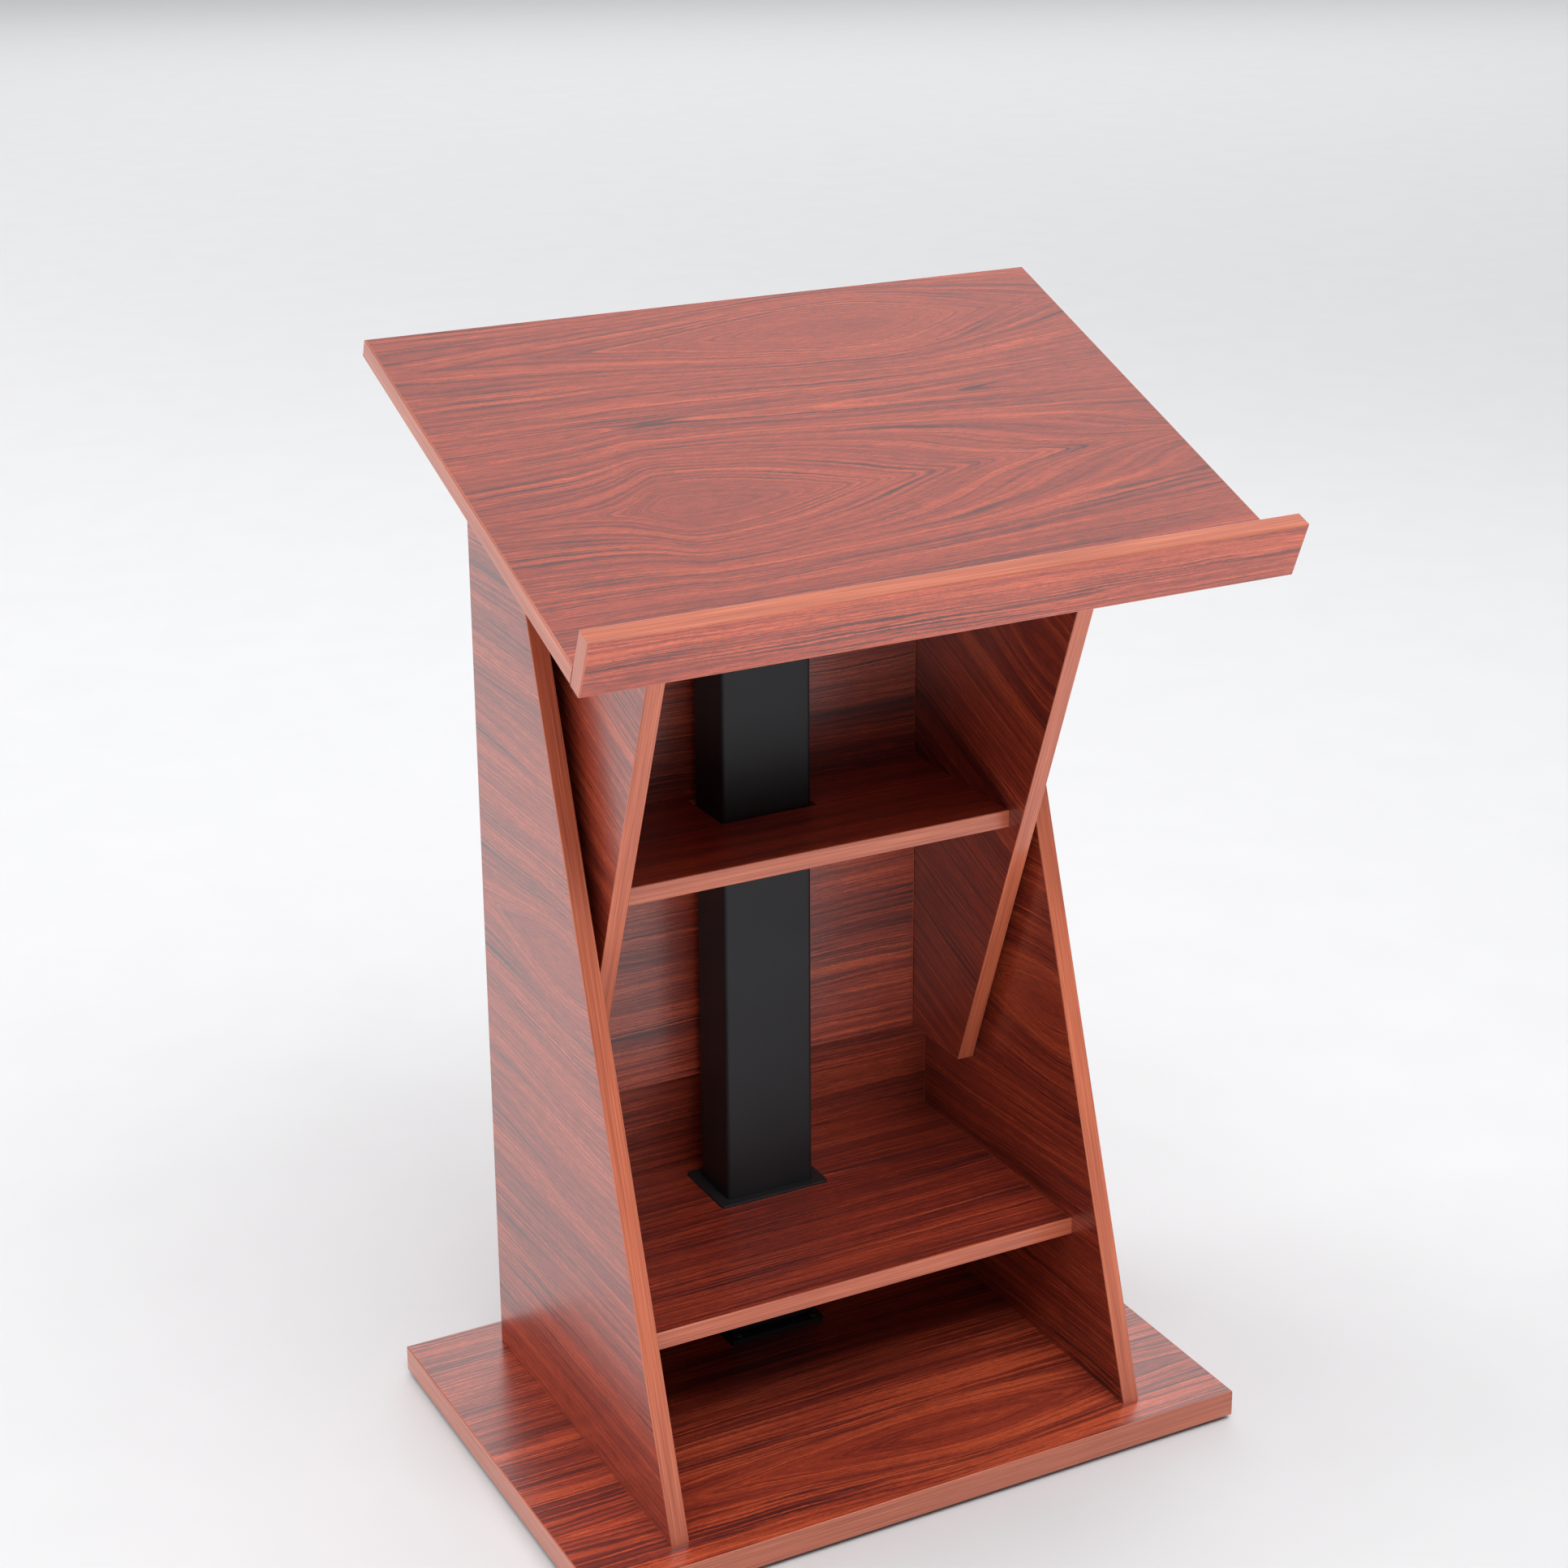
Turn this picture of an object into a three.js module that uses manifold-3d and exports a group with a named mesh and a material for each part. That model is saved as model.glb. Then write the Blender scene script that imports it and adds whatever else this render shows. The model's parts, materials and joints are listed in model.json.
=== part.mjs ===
// Presentation lectern with a height-adjustable desk.
// Units are millimetres, +X is the speaker's right, +Y points away from the speaker, +Z is up.
// The origin is on the floor, under the centre of the lectern's bounding box.
// The stand (base, outer panels, lower shelf, outer column tube) stays still. The carriage (desk,
// inner panels, upper shelf, inner column tube and drive) rises out of it along +Z.
import * as THREE from 'three';
import { mergeVertices } from 'three/addons/utils/BufferGeometryUtils.js';
import Module from 'manifold-3d';

const wasm = await Module();
wasm.setup();

// ---------- driving dimensions ----------

const GAP = 0.3; // left between pieces that touch on a slope or in a cut
const FINE = 0.3; // clearance round anything that sits in a hole
const OVER = 1; // how far a cutting or joining solid runs past its face
const BOARD = 15; // side panels, shelves, desk and ledge
const BACK_BOARD = 12; // both back panels
const GLIDE = { height: 4, radius: 12, inset: 34 };
const BASE = { width: 574, depth: 387, thick: 22 };
const OUTER = { width: 424, back: 164, frontAtBase: -167, slope: 0.325, deskGap: 6.5, backTop: 870 };
const INNER = { width: 376, back: 146, bottom: 245, frontAtBottom: 58, slope: -0.368, backBottom: 248 };
const DESK = { width: 576, length: 397, tilt: THREE.MathUtils.degToRad(22), frontY: -206.5, frontZ: 750 };
const LEDGE_STAND = 31; // how far the ledge stands above the desk surface
const LOWER_SHELF = { top: 157, front: -85, hole: { width: 84, depth: 56 }, camY: [-45, 110] };
const UPPER_SHELF = { top: 498, front: -15, hole: { width: 86, depth: 58 }, camY: [15, 110] };
const SUPPORT_BOARD = { top: 795, front: -40 };
const COLUMN = { y: 99, width: 80, depth: 52, wall: 2, corner: 4, top: 730 };
const INNER_TUBE = { width: 70, depth: 42, wall: 2, corner: 3, bottom: 60, top: 735 };
const COLLAR = { width: 100, depth: 70, thick: 2, corner: 4 };
const FOOT_PLATE = { width: 88, depth: 76, thick: 5, corner: 3, screwX: 36, screwY: 31.5 };
const HEAD_PLATE = { width: 150, depth: 68, thick: 4, corner: 6, screwX: 62, screwY: 26 };
const BUSHING = { height: 40, flange: 3 };
const NUT_TUBE = { radius: 12, wall: 2.5, floor: 4, top: 470 };
const NUT = { radius: 14, height: 30 };
const SCREW = { radius: 7, bottom: 45, inGearbox: 16 };
const GEARBOX = { width: 92, depth: 62, corner: 6 };
const MOTOR = { radius: 24, length: 92, rim: 3, below: 24, cableX: 108 };
const CONTROL_BOX = { x: -120, width: 88, front: -36, length: 130, height: 32, corner: 6, cableY: 22 };
const INLET = { width: 27, height: 20, depth: 17, wall: 2 };
const PIN = { radius: 1.6, length: 11, sides: 8, places: [[-6, -2], [0, 3], [6, -2]] };
const HANDSET = { x: 120, width: 92, front: 15, depth: 58, height: 19 };
const BUTTON = { width: 22, height: 8, spread: 15, proud: 2.5, travel: 1.5, stem: 5 };
const BRACKET = { leg: 30, thick: 2.5, length: 60, frontS: 85, backS: 275 };
const CAM = { radius: 7.5, depth: 12.5, setback: 34, boltRadius: 3, threadRadius: 2.5, thread: 11 };
const BASE_SCREW = { headRadius: 5, head: 3, radius: 3, length: 50, panelY: [-110, 120] };
const PLATE_SCREW = { headRadius: 4, head: 2.4, radius: 2, length: 16 };
const CABLE = { radius: 2.5, sides: 8, stub: 12, drop: 1.5 };

// ---------- places worked out from them ----------

const BASE_TOP = GLIDE.height + BASE.thick;
const OUTER_INSIDE = OUTER.width / 2 - BOARD;
const INNER_INSIDE = INNER.width / 2 - BOARD;
const OUTER_BACK_FRONT = OUTER.back - BACK_BOARD;
const INNER_BACK_FRONT = INNER.back - BACK_BOARD;
const BOARD_UNDER = SUPPORT_BOARD.top - BOARD;
const HEAD_UNDER = BOARD_UNDER - HEAD_PLATE.thick;
const FOOT_TOP = BASE_TOP + FOOT_PLATE.thick;
const CONTROL_Z = BOARD_UNDER - CONTROL_BOX.height / 2;
const CONTROL_BACK = CONTROL_BOX.front + CONTROL_BOX.length;
const MOTOR_Z = HEAD_UNDER - MOTOR.below;
const SLEEVE_OUTSIDE = {
  width: COLUMN.width - 2 * COLUMN.wall - 2 * FINE,
  depth: COLUMN.depth - 2 * COLUMN.wall - 2 * FINE,
  corner: COLUMN.corner - COLUMN.wall,
};
const SLEEVE_HOLE = {
  width: INNER_TUBE.width + 2 * FINE,
  depth: INNER_TUBE.depth + 2 * FINE,
  corner: INNER_TUBE.corner,
};

// Height of the desk's underside above the point y.
function undersideAt(y) {
  return DESK.frontZ + (y - DESK.frontY) * Math.tan(DESK.tilt) - BOARD / Math.cos(DESK.tilt);
}

// A point on the desk: s up its slope from the ledge, n out of its surface.
function deskPoint(x, s, n) {
  const y = DESK.frontY + s * Math.cos(DESK.tilt) - n * Math.sin(DESK.tilt);
  const z = DESK.frontZ + s * Math.sin(DESK.tilt) + n * Math.cos(DESK.tilt);
  return new THREE.Vector3(x, y, z);
}

// ---------- materials ----------

function material(name, color, roughness, metalness) {
  return new THREE.MeshStandardMaterial({ name, color, roughness, metalness });
}

const MAHOGANY = material('mahogany_laminate', 0x8c3d2e, 0.42, 0);
const BLACK_STEEL = material('black_powder_coat', 0x17181b, 0.38, 0.3);
const BLACK_PLASTIC = material('black_plastic', 0x1c1c1f, 0.55, 0);
const GREY_PLASTIC = material('grey_plastic', 0x8d9095, 0.5, 0);
const NYLON = material('nylon', 0xd8d5ca, 0.5, 0);
const ZINC_STEEL = material('zinc_steel', 0xb7bbc0, 0.35, 1);
const CABLE_JACKET = material('cable_jacket', 0x141415, 0.6, 0);

// ---------- solids ----------

function toManifold(geometry) {
  const bare = geometry.clone();
  bare.deleteAttribute('normal');
  bare.deleteAttribute('uv');
  const merged = mergeVertices(bare, 1e-4);
  const vertProperties = new Float32Array(merged.attributes.position.array);
  const triVerts = new Uint32Array(merged.index.array);
  return new wasm.Manifold(new wasm.Mesh({ numProp: 3, vertProperties, triVerts }));
}

function toGeometry(manifold) {
  const mesh = manifold.getMesh();
  const geometry = new THREE.BufferGeometry();
  geometry.setAttribute('position', new THREE.BufferAttribute(mesh.vertProperties, 3));
  geometry.setIndex(new THREE.BufferAttribute(mesh.triVerts, 1));
  geometry.computeVertexNormals();
  return geometry;
}

function cut(geometry, ...tools) {
  const start = toManifold(geometry);
  return toGeometry(tools.reduce((rest, tool) => rest.subtract(toManifold(tool)), start));
}

function join(geometry, ...others) {
  const start = toManifold(geometry);
  return toGeometry(others.reduce((sum, other) => sum.add(toManifold(other)), start));
}

// A box between two corners.
function block([x0, y0, z0], [x1, y1, z1]) {
  const geometry = new THREE.BoxGeometry(x1 - x0, y1 - y0, z1 - z0);
  return geometry.translate((x0 + x1) / 2, (y0 + y1) / 2, (z0 + z1) / 2);
}

// An upright round bar from z0 to z1.
function upright(x, y, z0, z1, radius, sides = 16) {
  const geometry = new THREE.CylinderGeometry(radius, radius, z1 - z0, sides);
  return geometry.rotateX(Math.PI / 2).translate(x, y, (z0 + z1) / 2);
}

// A level round bar along X from x0 to x1.
function level(x0, x1, y, z, radius, sides = 16) {
  const geometry = new THREE.CylinderGeometry(radius, radius, Math.abs(x1 - x0), sides);
  return geometry.rotateZ(Math.PI / 2).translate((x0 + x1) / 2, y, z);
}

function roundedOutline(width, depth, corner) {
  const [x, y] = [width / 2, depth / 2];
  const outline = new THREE.Shape();
  outline.absarc(x - corner, y - corner, corner, 0, Math.PI / 2);
  outline.absarc(corner - x, y - corner, corner, Math.PI / 2, Math.PI);
  outline.absarc(corner - x, corner - y, corner, Math.PI, 1.5 * Math.PI);
  outline.absarc(x - corner, corner - y, corner, 1.5 * Math.PI, 2 * Math.PI);
  outline.closePath();
  return outline;
}

// An upright block with round corners, centred on (x, y), with an optional hole of the same kind.
function roundedBlock({ x = 0, y = 0, z0, z1, width, depth, corner, hole = null }) {
  const outline = roundedOutline(width, depth, corner);
  if (hole) outline.holes.push(roundedOutline(hole.width, hole.depth, hole.corner));
  const options = { depth: z1 - z0, bevelEnabled: false, curveSegments: 2 };
  return new THREE.ExtrudeGeometry(outline, options).translate(x, y, z0);
}

// A panel cut to an outline in Y and Z, from x0 to x0 + thick.
function panel(points, x0, thick) {
  const outline = new THREE.Shape(points.map(([y, z]) => new THREE.Vector2(y, z)));
  const geometry = new THREE.ExtrudeGeometry(outline, { depth: thick, bevelEnabled: false });
  const turn = new THREE.Matrix4().makeBasis(
    new THREE.Vector3(0, 1, 0),
    new THREE.Vector3(0, 0, 1),
    new THREE.Vector3(1, 0, 0),
  );
  return geometry.applyMatrix4(turn).translate(x0, 0, 0);
}

function cableAlong(points) {
  const path = new THREE.CatmullRomCurve3(points);
  const section = new THREE.Shape();
  for (let i = 0; i < CABLE.sides; i += 1) {
    const angle = (2 * Math.PI * i) / CABLE.sides;
    const [x, y] = [CABLE.radius * Math.cos(angle), CABLE.radius * Math.sin(angle)];
    if (i === 0) section.moveTo(x, y);
    else section.lineTo(x, y);
  }
  section.closePath();
  const steps = Math.round(path.getLength() / (CABLE.radius * 6));
  return new THREE.ExtrudeGeometry(section, { steps, bevelEnabled: false, extrudePath: path });
}

function addPiece(group, name, geometry, look) {
  const mesh = new THREE.Mesh(geometry, look);
  mesh.name = name;
  group.add(mesh);
}

// ---------- fasteners ----------

// The four corners of a fixing pattern round the column.
function corners(screwX, screwY) {
  return [[-1, -1], [1, -1], [-1, 1], [1, 1]].map(([i, j]) => [i * screwX, COLUMN.y + j * screwY]);
}

// A cam disc let into a shelf's underside, with its bolt into the side panel. side is -1 or +1.
function camFitting(side, inside, y, underside, room = 0) {
  const x = side * (inside - CAM.setback);
  const z = underside + BOARD / 2;
  const face = side * inside;
  const tip = side * (inside + CAM.thread + room);
  const foot = underside - (room ? OVER : 0);
  const disc = upright(x, y, foot, underside + CAM.depth + room, CAM.radius + room);
  const bolt = level(x, face, y, z, CAM.boltRadius + room, 12);
  const thread = level(face - side * OVER, tip, y, z, CAM.threadRadius + room, 12);
  return join(disc, bolt, thread);
}

function camFittings(shelf, inside, room = 0) {
  const underside = shelf.top - BOARD;
  const all = [];
  for (const side of [-1, 1]) {
    for (const y of shelf.camY) {
      all.push({ side, y, geometry: camFitting(side, inside, y, underside, room) });
    }
  }
  return all;
}

function addCamFittings(group, shelf, inside, prefix) {
  for (const { side, y, geometry } of camFittings(shelf, inside)) {
    const hand = side < 0 ? 'left' : 'right';
    const end = y === shelf.camY[0] ? 'front' : 'back';
    addPiece(group, `${prefix}_cam_${hand}_${end}`, geometry, ZINC_STEEL);
  }
}

function camHoles(shelf, inside, side = null) {
  const wanted = camFittings(shelf, inside, FINE).filter((one) => side === null || one.side === side);
  return wanted.map((one) => one.geometry);
}

// A countersunk screw driven up through the base into a side panel's lower end.
function baseScrew(x, y, room = 0) {
  const foot = GLIDE.height;
  const start = foot - (room ? OVER : 0);
  const head = upright(x, y, start, foot + BASE_SCREW.head + room, BASE_SCREW.headRadius + room);
  const tip = foot + BASE_SCREW.length + room;
  const shank = upright(x, y, foot + OVER, tip, BASE_SCREW.radius + room, 12);
  return join(head, shank);
}

function baseScrewPlaces() {
  const x = OUTER_INSIDE + BOARD / 2;
  return [-x, x].flatMap((place) => BASE_SCREW.panelY.map((y) => [place, y]));
}

// A pan-head screw through a plate. Its head is on the side that `into` points away from.
function plateScrew(x, y, face, into, room = 0) {
  const [head, tip] = [face - into * (PLATE_SCREW.head + room), face + into * PLATE_SCREW.length];
  const cap = upright(x, y, Math.min(head, face), Math.max(head, face), PLATE_SCREW.headRadius + room);
  const end = tip + into * room;
  const shank = upright(x, y, Math.min(head, end), Math.max(head, end), PLATE_SCREW.radius + room, 12);
  return room ? shank : join(cap, shank);
}

// ---------- the stand ----------

function baseBoard() {
  const [x, y] = [BASE.width / 2, BASE.depth / 2];
  const board = block([-x, -y, GLIDE.height], [x, y, BASE_TOP]);
  const screws = baseScrewPlaces().map(([sx, sy]) => baseScrew(sx, sy, FINE));
  const footScrews = corners(FOOT_PLATE.screwX, FOOT_PLATE.screwY)
    .map(([sx, sy]) => plateScrew(sx, sy, FOOT_TOP, -1, FINE));
  return cut(board, ...screws, ...footScrews);
}

function addGlides(group) {
  const [x, y] = [BASE.width / 2 - GLIDE.inset, BASE.depth / 2 - GLIDE.inset];
  const places = { front_left: [-x, -y], front_right: [x, -y], back_left: [-x, y], back_right: [x, y] };
  for (const [name, [gx, gy]] of Object.entries(places)) {
    addPiece(group, `glide_${name}`, upright(gx, gy, 0, GLIDE.height, GLIDE.radius, 24), BLACK_PLASTIC);
  }
}

// Upright at the back, its front edge leaning back as it rises, its top parallel to the desk.
function outerPanel(side) {
  const frontAt = (z) => OUTER.frontAtBase + (z - BASE_TOP) * OUTER.slope;
  const topAt = (y) => undersideAt(y) - OUTER.deskGap;
  const rise = Math.tan(DESK.tilt);
  const frontTop = (topAt(0) + rise * frontAt(0)) / (1 - rise * OUTER.slope);
  const points = [
    [OUTER.frontAtBase, BASE_TOP],
    [OUTER.back, BASE_TOP],
    [OUTER.back, topAt(OUTER.back)],
    [frontAt(frontTop), frontTop],
  ];
  const board = panel(points, side < 0 ? -OUTER.width / 2 : OUTER_INSIDE, BOARD);
  const screws = baseScrewPlaces().filter(([x]) => x * side > 0).map(([x, y]) => baseScrew(x, y, FINE));
  return cut(board, ...camHoles(LOWER_SHELF, OUTER_INSIDE, side), ...screws);
}

function outerBackPanel() {
  return block([-OUTER_INSIDE, OUTER_BACK_FRONT, BASE_TOP], [OUTER_INSIDE, OUTER.back, OUTER.backTop]);
}

// A shelf between two side panels, with its hole for the column.
function shelfBoard(shelf, inside, back) {
  const board = block([-inside, shelf.front, shelf.top - BOARD], [inside, back, shelf.top]);
  const [x, y] = [shelf.hole.width / 2, shelf.hole.depth / 2];
  const hole = block([-x, COLUMN.y - y, shelf.top - 2 * BOARD], [x, COLUMN.y + y, shelf.top + BOARD]);
  return cut(board, hole, ...camHoles(shelf, inside));
}

// An upright tube round the column's axis.
function columnTube({ width, depth, corner, wall, z0, z1 }) {
  const hole = { width: width - 2 * wall, depth: depth - 2 * wall, corner: Math.max(corner - wall, 1) };
  return roundedBlock({ y: COLUMN.y, z0, z1, width, depth, corner, hole });
}

function collarPlate() {
  const hole = { width: COLUMN.width + 2 * FINE, depth: COLUMN.depth + 2 * FINE, corner: COLUMN.corner };
  const { width, depth, corner, thick } = COLLAR;
  const z0 = LOWER_SHELF.top;
  return roundedBlock({ y: COLUMN.y, z0, z1: z0 + thick, width, depth, corner, hole });
}

function footPlate() {
  const { width, depth, corner } = FOOT_PLATE;
  const plate = roundedBlock({ y: COLUMN.y, z0: BASE_TOP, z1: FOOT_TOP, width, depth, corner });
  const holes = corners(FOOT_PLATE.screwX, FOOT_PLATE.screwY)
    .map(([x, y]) => plateScrew(x, y, FOOT_TOP, -1, FINE));
  return cut(plate, ...holes);
}

// A plastic sleeve between the two tubes, with a flange over the outer tube's rim.
function upperBushing() {
  const { width, depth, corner, top } = COLUMN;
  const ring = { y: COLUMN.y, hole: SLEEVE_HOLE };
  const sleeve = roundedBlock({ ...ring, ...SLEEVE_OUTSIDE, z0: top - BUSHING.height, z1: top + OVER });
  const flange = roundedBlock({ ...ring, width, depth, corner, z0: top, z1: top + BUSHING.flange });
  return join(sleeve, flange);
}

function nutTube() {
  const { radius, wall, floor, top } = NUT_TUBE;
  const tube = upright(0, COLUMN.y, FOOT_TOP, top, radius, 24);
  return cut(tube, upright(0, COLUMN.y, FOOT_TOP + floor, top + OVER, radius - wall, 24));
}

function spindleNut() {
  const [z0, z1] = [NUT_TUBE.top, NUT_TUBE.top + NUT.height];
  const body = upright(0, COLUMN.y, z0, z1, NUT.radius, 24);
  return cut(body, upright(0, COLUMN.y, z0 - OVER, z1 + OVER, SCREW.radius + FINE, 24));
}

function makeStand() {
  const group = new THREE.Group();
  addPiece(group, 'base_board', baseBoard(), MAHOGANY);
  addGlides(group);
  addPiece(group, 'outer_panel_left', outerPanel(-1), MAHOGANY);
  addPiece(group, 'outer_panel_right', outerPanel(1), MAHOGANY);
  addPiece(group, 'outer_back_panel', outerBackPanel(), MAHOGANY);
  addPiece(group, 'lower_shelf', shelfBoard(LOWER_SHELF, OUTER_INSIDE, OUTER_BACK_FRONT), MAHOGANY);
  addPiece(group, 'column_collar', collarPlate(), BLACK_STEEL);
  addPiece(group, 'column_foot_plate', footPlate(), BLACK_STEEL);
  const tube = columnTube({ ...COLUMN, z0: FOOT_TOP, z1: COLUMN.top });
  addPiece(group, 'column_outer_tube', tube, BLACK_STEEL);
  addPiece(group, 'upper_glide_bushing', upperBushing(), BLACK_PLASTIC);
  addPiece(group, 'nut_tube', nutTube(), ZINC_STEEL);
  addPiece(group, 'spindle_nut', spindleNut(), NYLON);
  corners(FOOT_PLATE.screwX, FOOT_PLATE.screwY).forEach(([x, y], i) => {
    addPiece(group, `foot_screw_${i + 1}`, plateScrew(x, y, FOOT_TOP, -1), BLACK_STEEL);
  });
  baseScrewPlaces().forEach(([x, y], i) => {
    addPiece(group, `base_screw_${i + 1}`, baseScrew(x, y), ZINC_STEEL);
  });
  addCamFittings(group, LOWER_SHELF, OUTER_INSIDE, 'lower_shelf');
  return group;
}

// ---------- the carriage ----------

// Its front edge leans forward as it rises, so each side makes an X with the outer panel.
function innerPanel(side) {
  const frontAt = (z) => INNER.frontAtBottom + (z - INNER.bottom) * INNER.slope;
  const topAt = (y) => undersideAt(y) - GAP;
  const rise = Math.tan(DESK.tilt);
  const frontTop = (topAt(0) + rise * frontAt(0)) / (1 - rise * INNER.slope);
  const points = [
    [INNER.frontAtBottom, INNER.bottom],
    [INNER.back, INNER.bottom],
    [INNER.back, topAt(INNER.back)],
    [frontAt(frontTop), frontTop],
  ];
  const board = panel(points, side < 0 ? -INNER.width / 2 : INNER_INSIDE, BOARD);
  return cut(board, ...camHoles(UPPER_SHELF, INNER_INSIDE, side));
}

function innerBackPanel() {
  const top = undersideAt(INNER_BACK_FRONT) - GAP;
  return block([-INNER_INSIDE, INNER_BACK_FRONT, INNER.backBottom], [INNER_INSIDE, INNER.back, top]);
}

function supportBoard() {
  const low = [-INNER_INSIDE, SUPPORT_BOARD.front, BOARD_UNDER];
  const board = block(low, [INNER_INSIDE, INNER_BACK_FRONT, SUPPORT_BOARD.top]);
  const holes = corners(HEAD_PLATE.screwX, HEAD_PLATE.screwY)
    .map(([x, y]) => plateScrew(x, y, HEAD_UNDER, 1, FINE));
  return cut(board, ...holes);
}

function headPlate() {
  const { width, depth, corner } = HEAD_PLATE;
  const plate = roundedBlock({ y: COLUMN.y, z0: HEAD_UNDER, z1: BOARD_UNDER, width, depth, corner });
  const holes = corners(HEAD_PLATE.screwX, HEAD_PLATE.screwY)
    .map(([x, y]) => plateScrew(x, y, HEAD_UNDER, 1, FINE));
  return cut(plate, ...holes);
}

function lowerBushing() {
  const [z0, z1] = [INNER_TUBE.bottom, INNER_TUBE.bottom + BUSHING.height];
  return roundedBlock({ ...SLEEVE_OUTSIDE, y: COLUMN.y, z0, z1, hole: SLEEVE_HOLE });
}

function gearboxHousing() {
  const { width, depth, corner } = GEARBOX;
  const body = roundedBlock({ y: COLUMN.y, z0: INNER_TUBE.top, z1: HEAD_UNDER, width, depth, corner });
  const [low, high] = [INNER_TUBE.top - OVER, INNER_TUBE.top + SCREW.inGearbox + OVER];
  return cut(body, upright(0, COLUMN.y, low, high, SCREW.radius + OVER, 24));
}

// A round motor lying along X against the gearbox, with a stepped end cap.
function driveMotor() {
  const start = GEARBOX.width / 2;
  const end = start + MOTOR.length;
  const can = level(start, end - MOTOR.rim * 2, COLUMN.y, MOTOR_Z, MOTOR.radius, 32);
  const cap = level(end - MOTOR.rim * 3, end, COLUMN.y, MOTOR_Z, MOTOR.radius - MOTOR.rim, 32);
  return join(can, cap);
}

function controlBox() {
  const { x, width, front, length, height, corner } = CONTROL_BOX;
  const y = front + length / 2;
  const [z0, z1] = [BOARD_UNDER - height, BOARD_UNDER];
  const body = roundedBlock({ x, y, z0, z1, width, depth: length, corner });
  const [w, h] = [INLET.width / 2 + FINE, INLET.height / 2 + FINE];
  const low = [x - w, CONTROL_BACK - INLET.depth - FINE, CONTROL_Z - h];
  return cut(body, block(low, [x + w, CONTROL_BACK + OVER, CONTROL_Z + h]));
}

// The mains socket's cup with three contact pins. It opens towards +Y.
function powerInlet() {
  const [x, back] = [CONTROL_BOX.x, CONTROL_BACK];
  const { width, height, depth, wall } = INLET;
  const [w, h] = [width / 2, height / 2];
  const floor = back - depth + wall;
  const cup = block([x - w, back - depth, CONTROL_Z - h], [x + w, back, CONTROL_Z + h]);
  const [inW, inH] = [w - wall, h - wall];
  const room = block([x - inW, floor, CONTROL_Z - inH], [x + inW, back + OVER, CONTROL_Z + inH]);
  const pins = PIN.places.map(([px, pz]) => {
    const pin = new THREE.CylinderGeometry(PIN.radius, PIN.radius, PIN.length + OVER, PIN.sides);
    return pin.translate(x + px, floor + (PIN.length - OVER) / 2, CONTROL_Z + pz);
  });
  return join(cut(cup, room), ...pins);
}

function makeDesk() {
  const group = new THREE.Group();
  group.position.set(0, DESK.frontY, DESK.frontZ);
  group.rotation.x = DESK.tilt;
  const x = DESK.width / 2;
  addPiece(group, 'desk_top', block([-x, 0, -BOARD], [x, DESK.length, 0]), MAHOGANY);
  const ledge = block([-x, -BOARD - GAP, -BOARD], [x, -GAP, LEDGE_STAND]);
  addPiece(group, 'paper_ledge', ledge, MAHOGANY);
  addBrackets(group);
  addPiece(group, 'handset_case', handsetCase(), BLACK_PLASTIC);
  addPiece(group, 'up_button', button(1), GREY_PLASTIC);
  addPiece(group, 'down_button', button(-1), GREY_PLASTIC);
  return group;
}

// Steel angles that tie the desk's underside to the inner panels.
function addBrackets(group) {
  const { leg, thick, length } = BRACKET;
  const places = { front: BRACKET.frontS, back: BRACKET.backS };
  for (const side of [-1, 1]) {
    for (const [end, start] of Object.entries(places)) {
      const outline = [[0, 0], [leg, 0], [leg, -thick], [thick, -thick], [thick, -leg], [0, -leg]];
      const shape = new THREE.Shape(outline.map(([a, b]) => new THREE.Vector2(-side * a, b)));
      const angle = new THREE.ExtrudeGeometry(shape, { depth: length, bevelEnabled: false });
      angle.rotateX(Math.PI / 2).translate(side * (INNER_INSIDE - GAP), start + length, -BOARD - GAP);
      const name = `desk_bracket_${side < 0 ? 'left' : 'right'}_${end}`;
      addPiece(group, name, angle, ZINC_STEEL);
    }
  }
}

// The case hangs under the desk, with one recess in its front for each button.
function handsetCase() {
  const { x, width, front, depth, height } = HANDSET;
  const top = -BOARD - GAP;
  const body = block([x - width / 2, front, top - height], [x + width / 2, front + depth, top]);
  const recesses = [-1, 1].map((side) => buttonBlock(side, FINE, BUTTON.stem + BUTTON.travel));
  return cut(body, ...recesses);
}

function buttonBlock(side, room, reach) {
  const x = HANDSET.x + side * BUTTON.spread;
  const z = -BOARD - GAP - HANDSET.height / 2;
  const [w, h] = [BUTTON.width / 2 + room, BUTTON.height / 2 + room];
  const front = HANDSET.front - BUTTON.proud;
  return block([x - w, front, z - h], [x + w, HANDSET.front + reach, z + h]);
}

function button(side) {
  return buttonBlock(side, 0, BUTTON.stem - FINE);
}

function leadScrew() {
  return upright(0, COLUMN.y, SCREW.bottom, INNER_TUBE.top + SCREW.inGearbox, SCREW.radius, 24);
}

// From the motor's front round to the control box, under the support board.
function motorCable() {
  const [start, end] = [COLUMN.y - MOTOR.radius - GAP, CONTROL_BOX.x + CONTROL_BOX.width / 2 + GAP];
  const [x, y, under] = [MOTOR.cableX, CONTROL_BOX.cableY, BOARD_UNDER - CABLE.radius - CABLE.drop];
  return cableAlong([
    new THREE.Vector3(x, start, MOTOR_Z),
    new THREE.Vector3(x, start - CABLE.stub, MOTOR_Z),
    new THREE.Vector3(x - 16, y + 22, under - 6),
    new THREE.Vector3(x - 70, y + 4, under),
    new THREE.Vector3(x - 130, y, under),
    new THREE.Vector3(end + CABLE.stub, y, CONTROL_Z),
    new THREE.Vector3(end, y, CONTROL_Z),
  ]);
}

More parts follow.
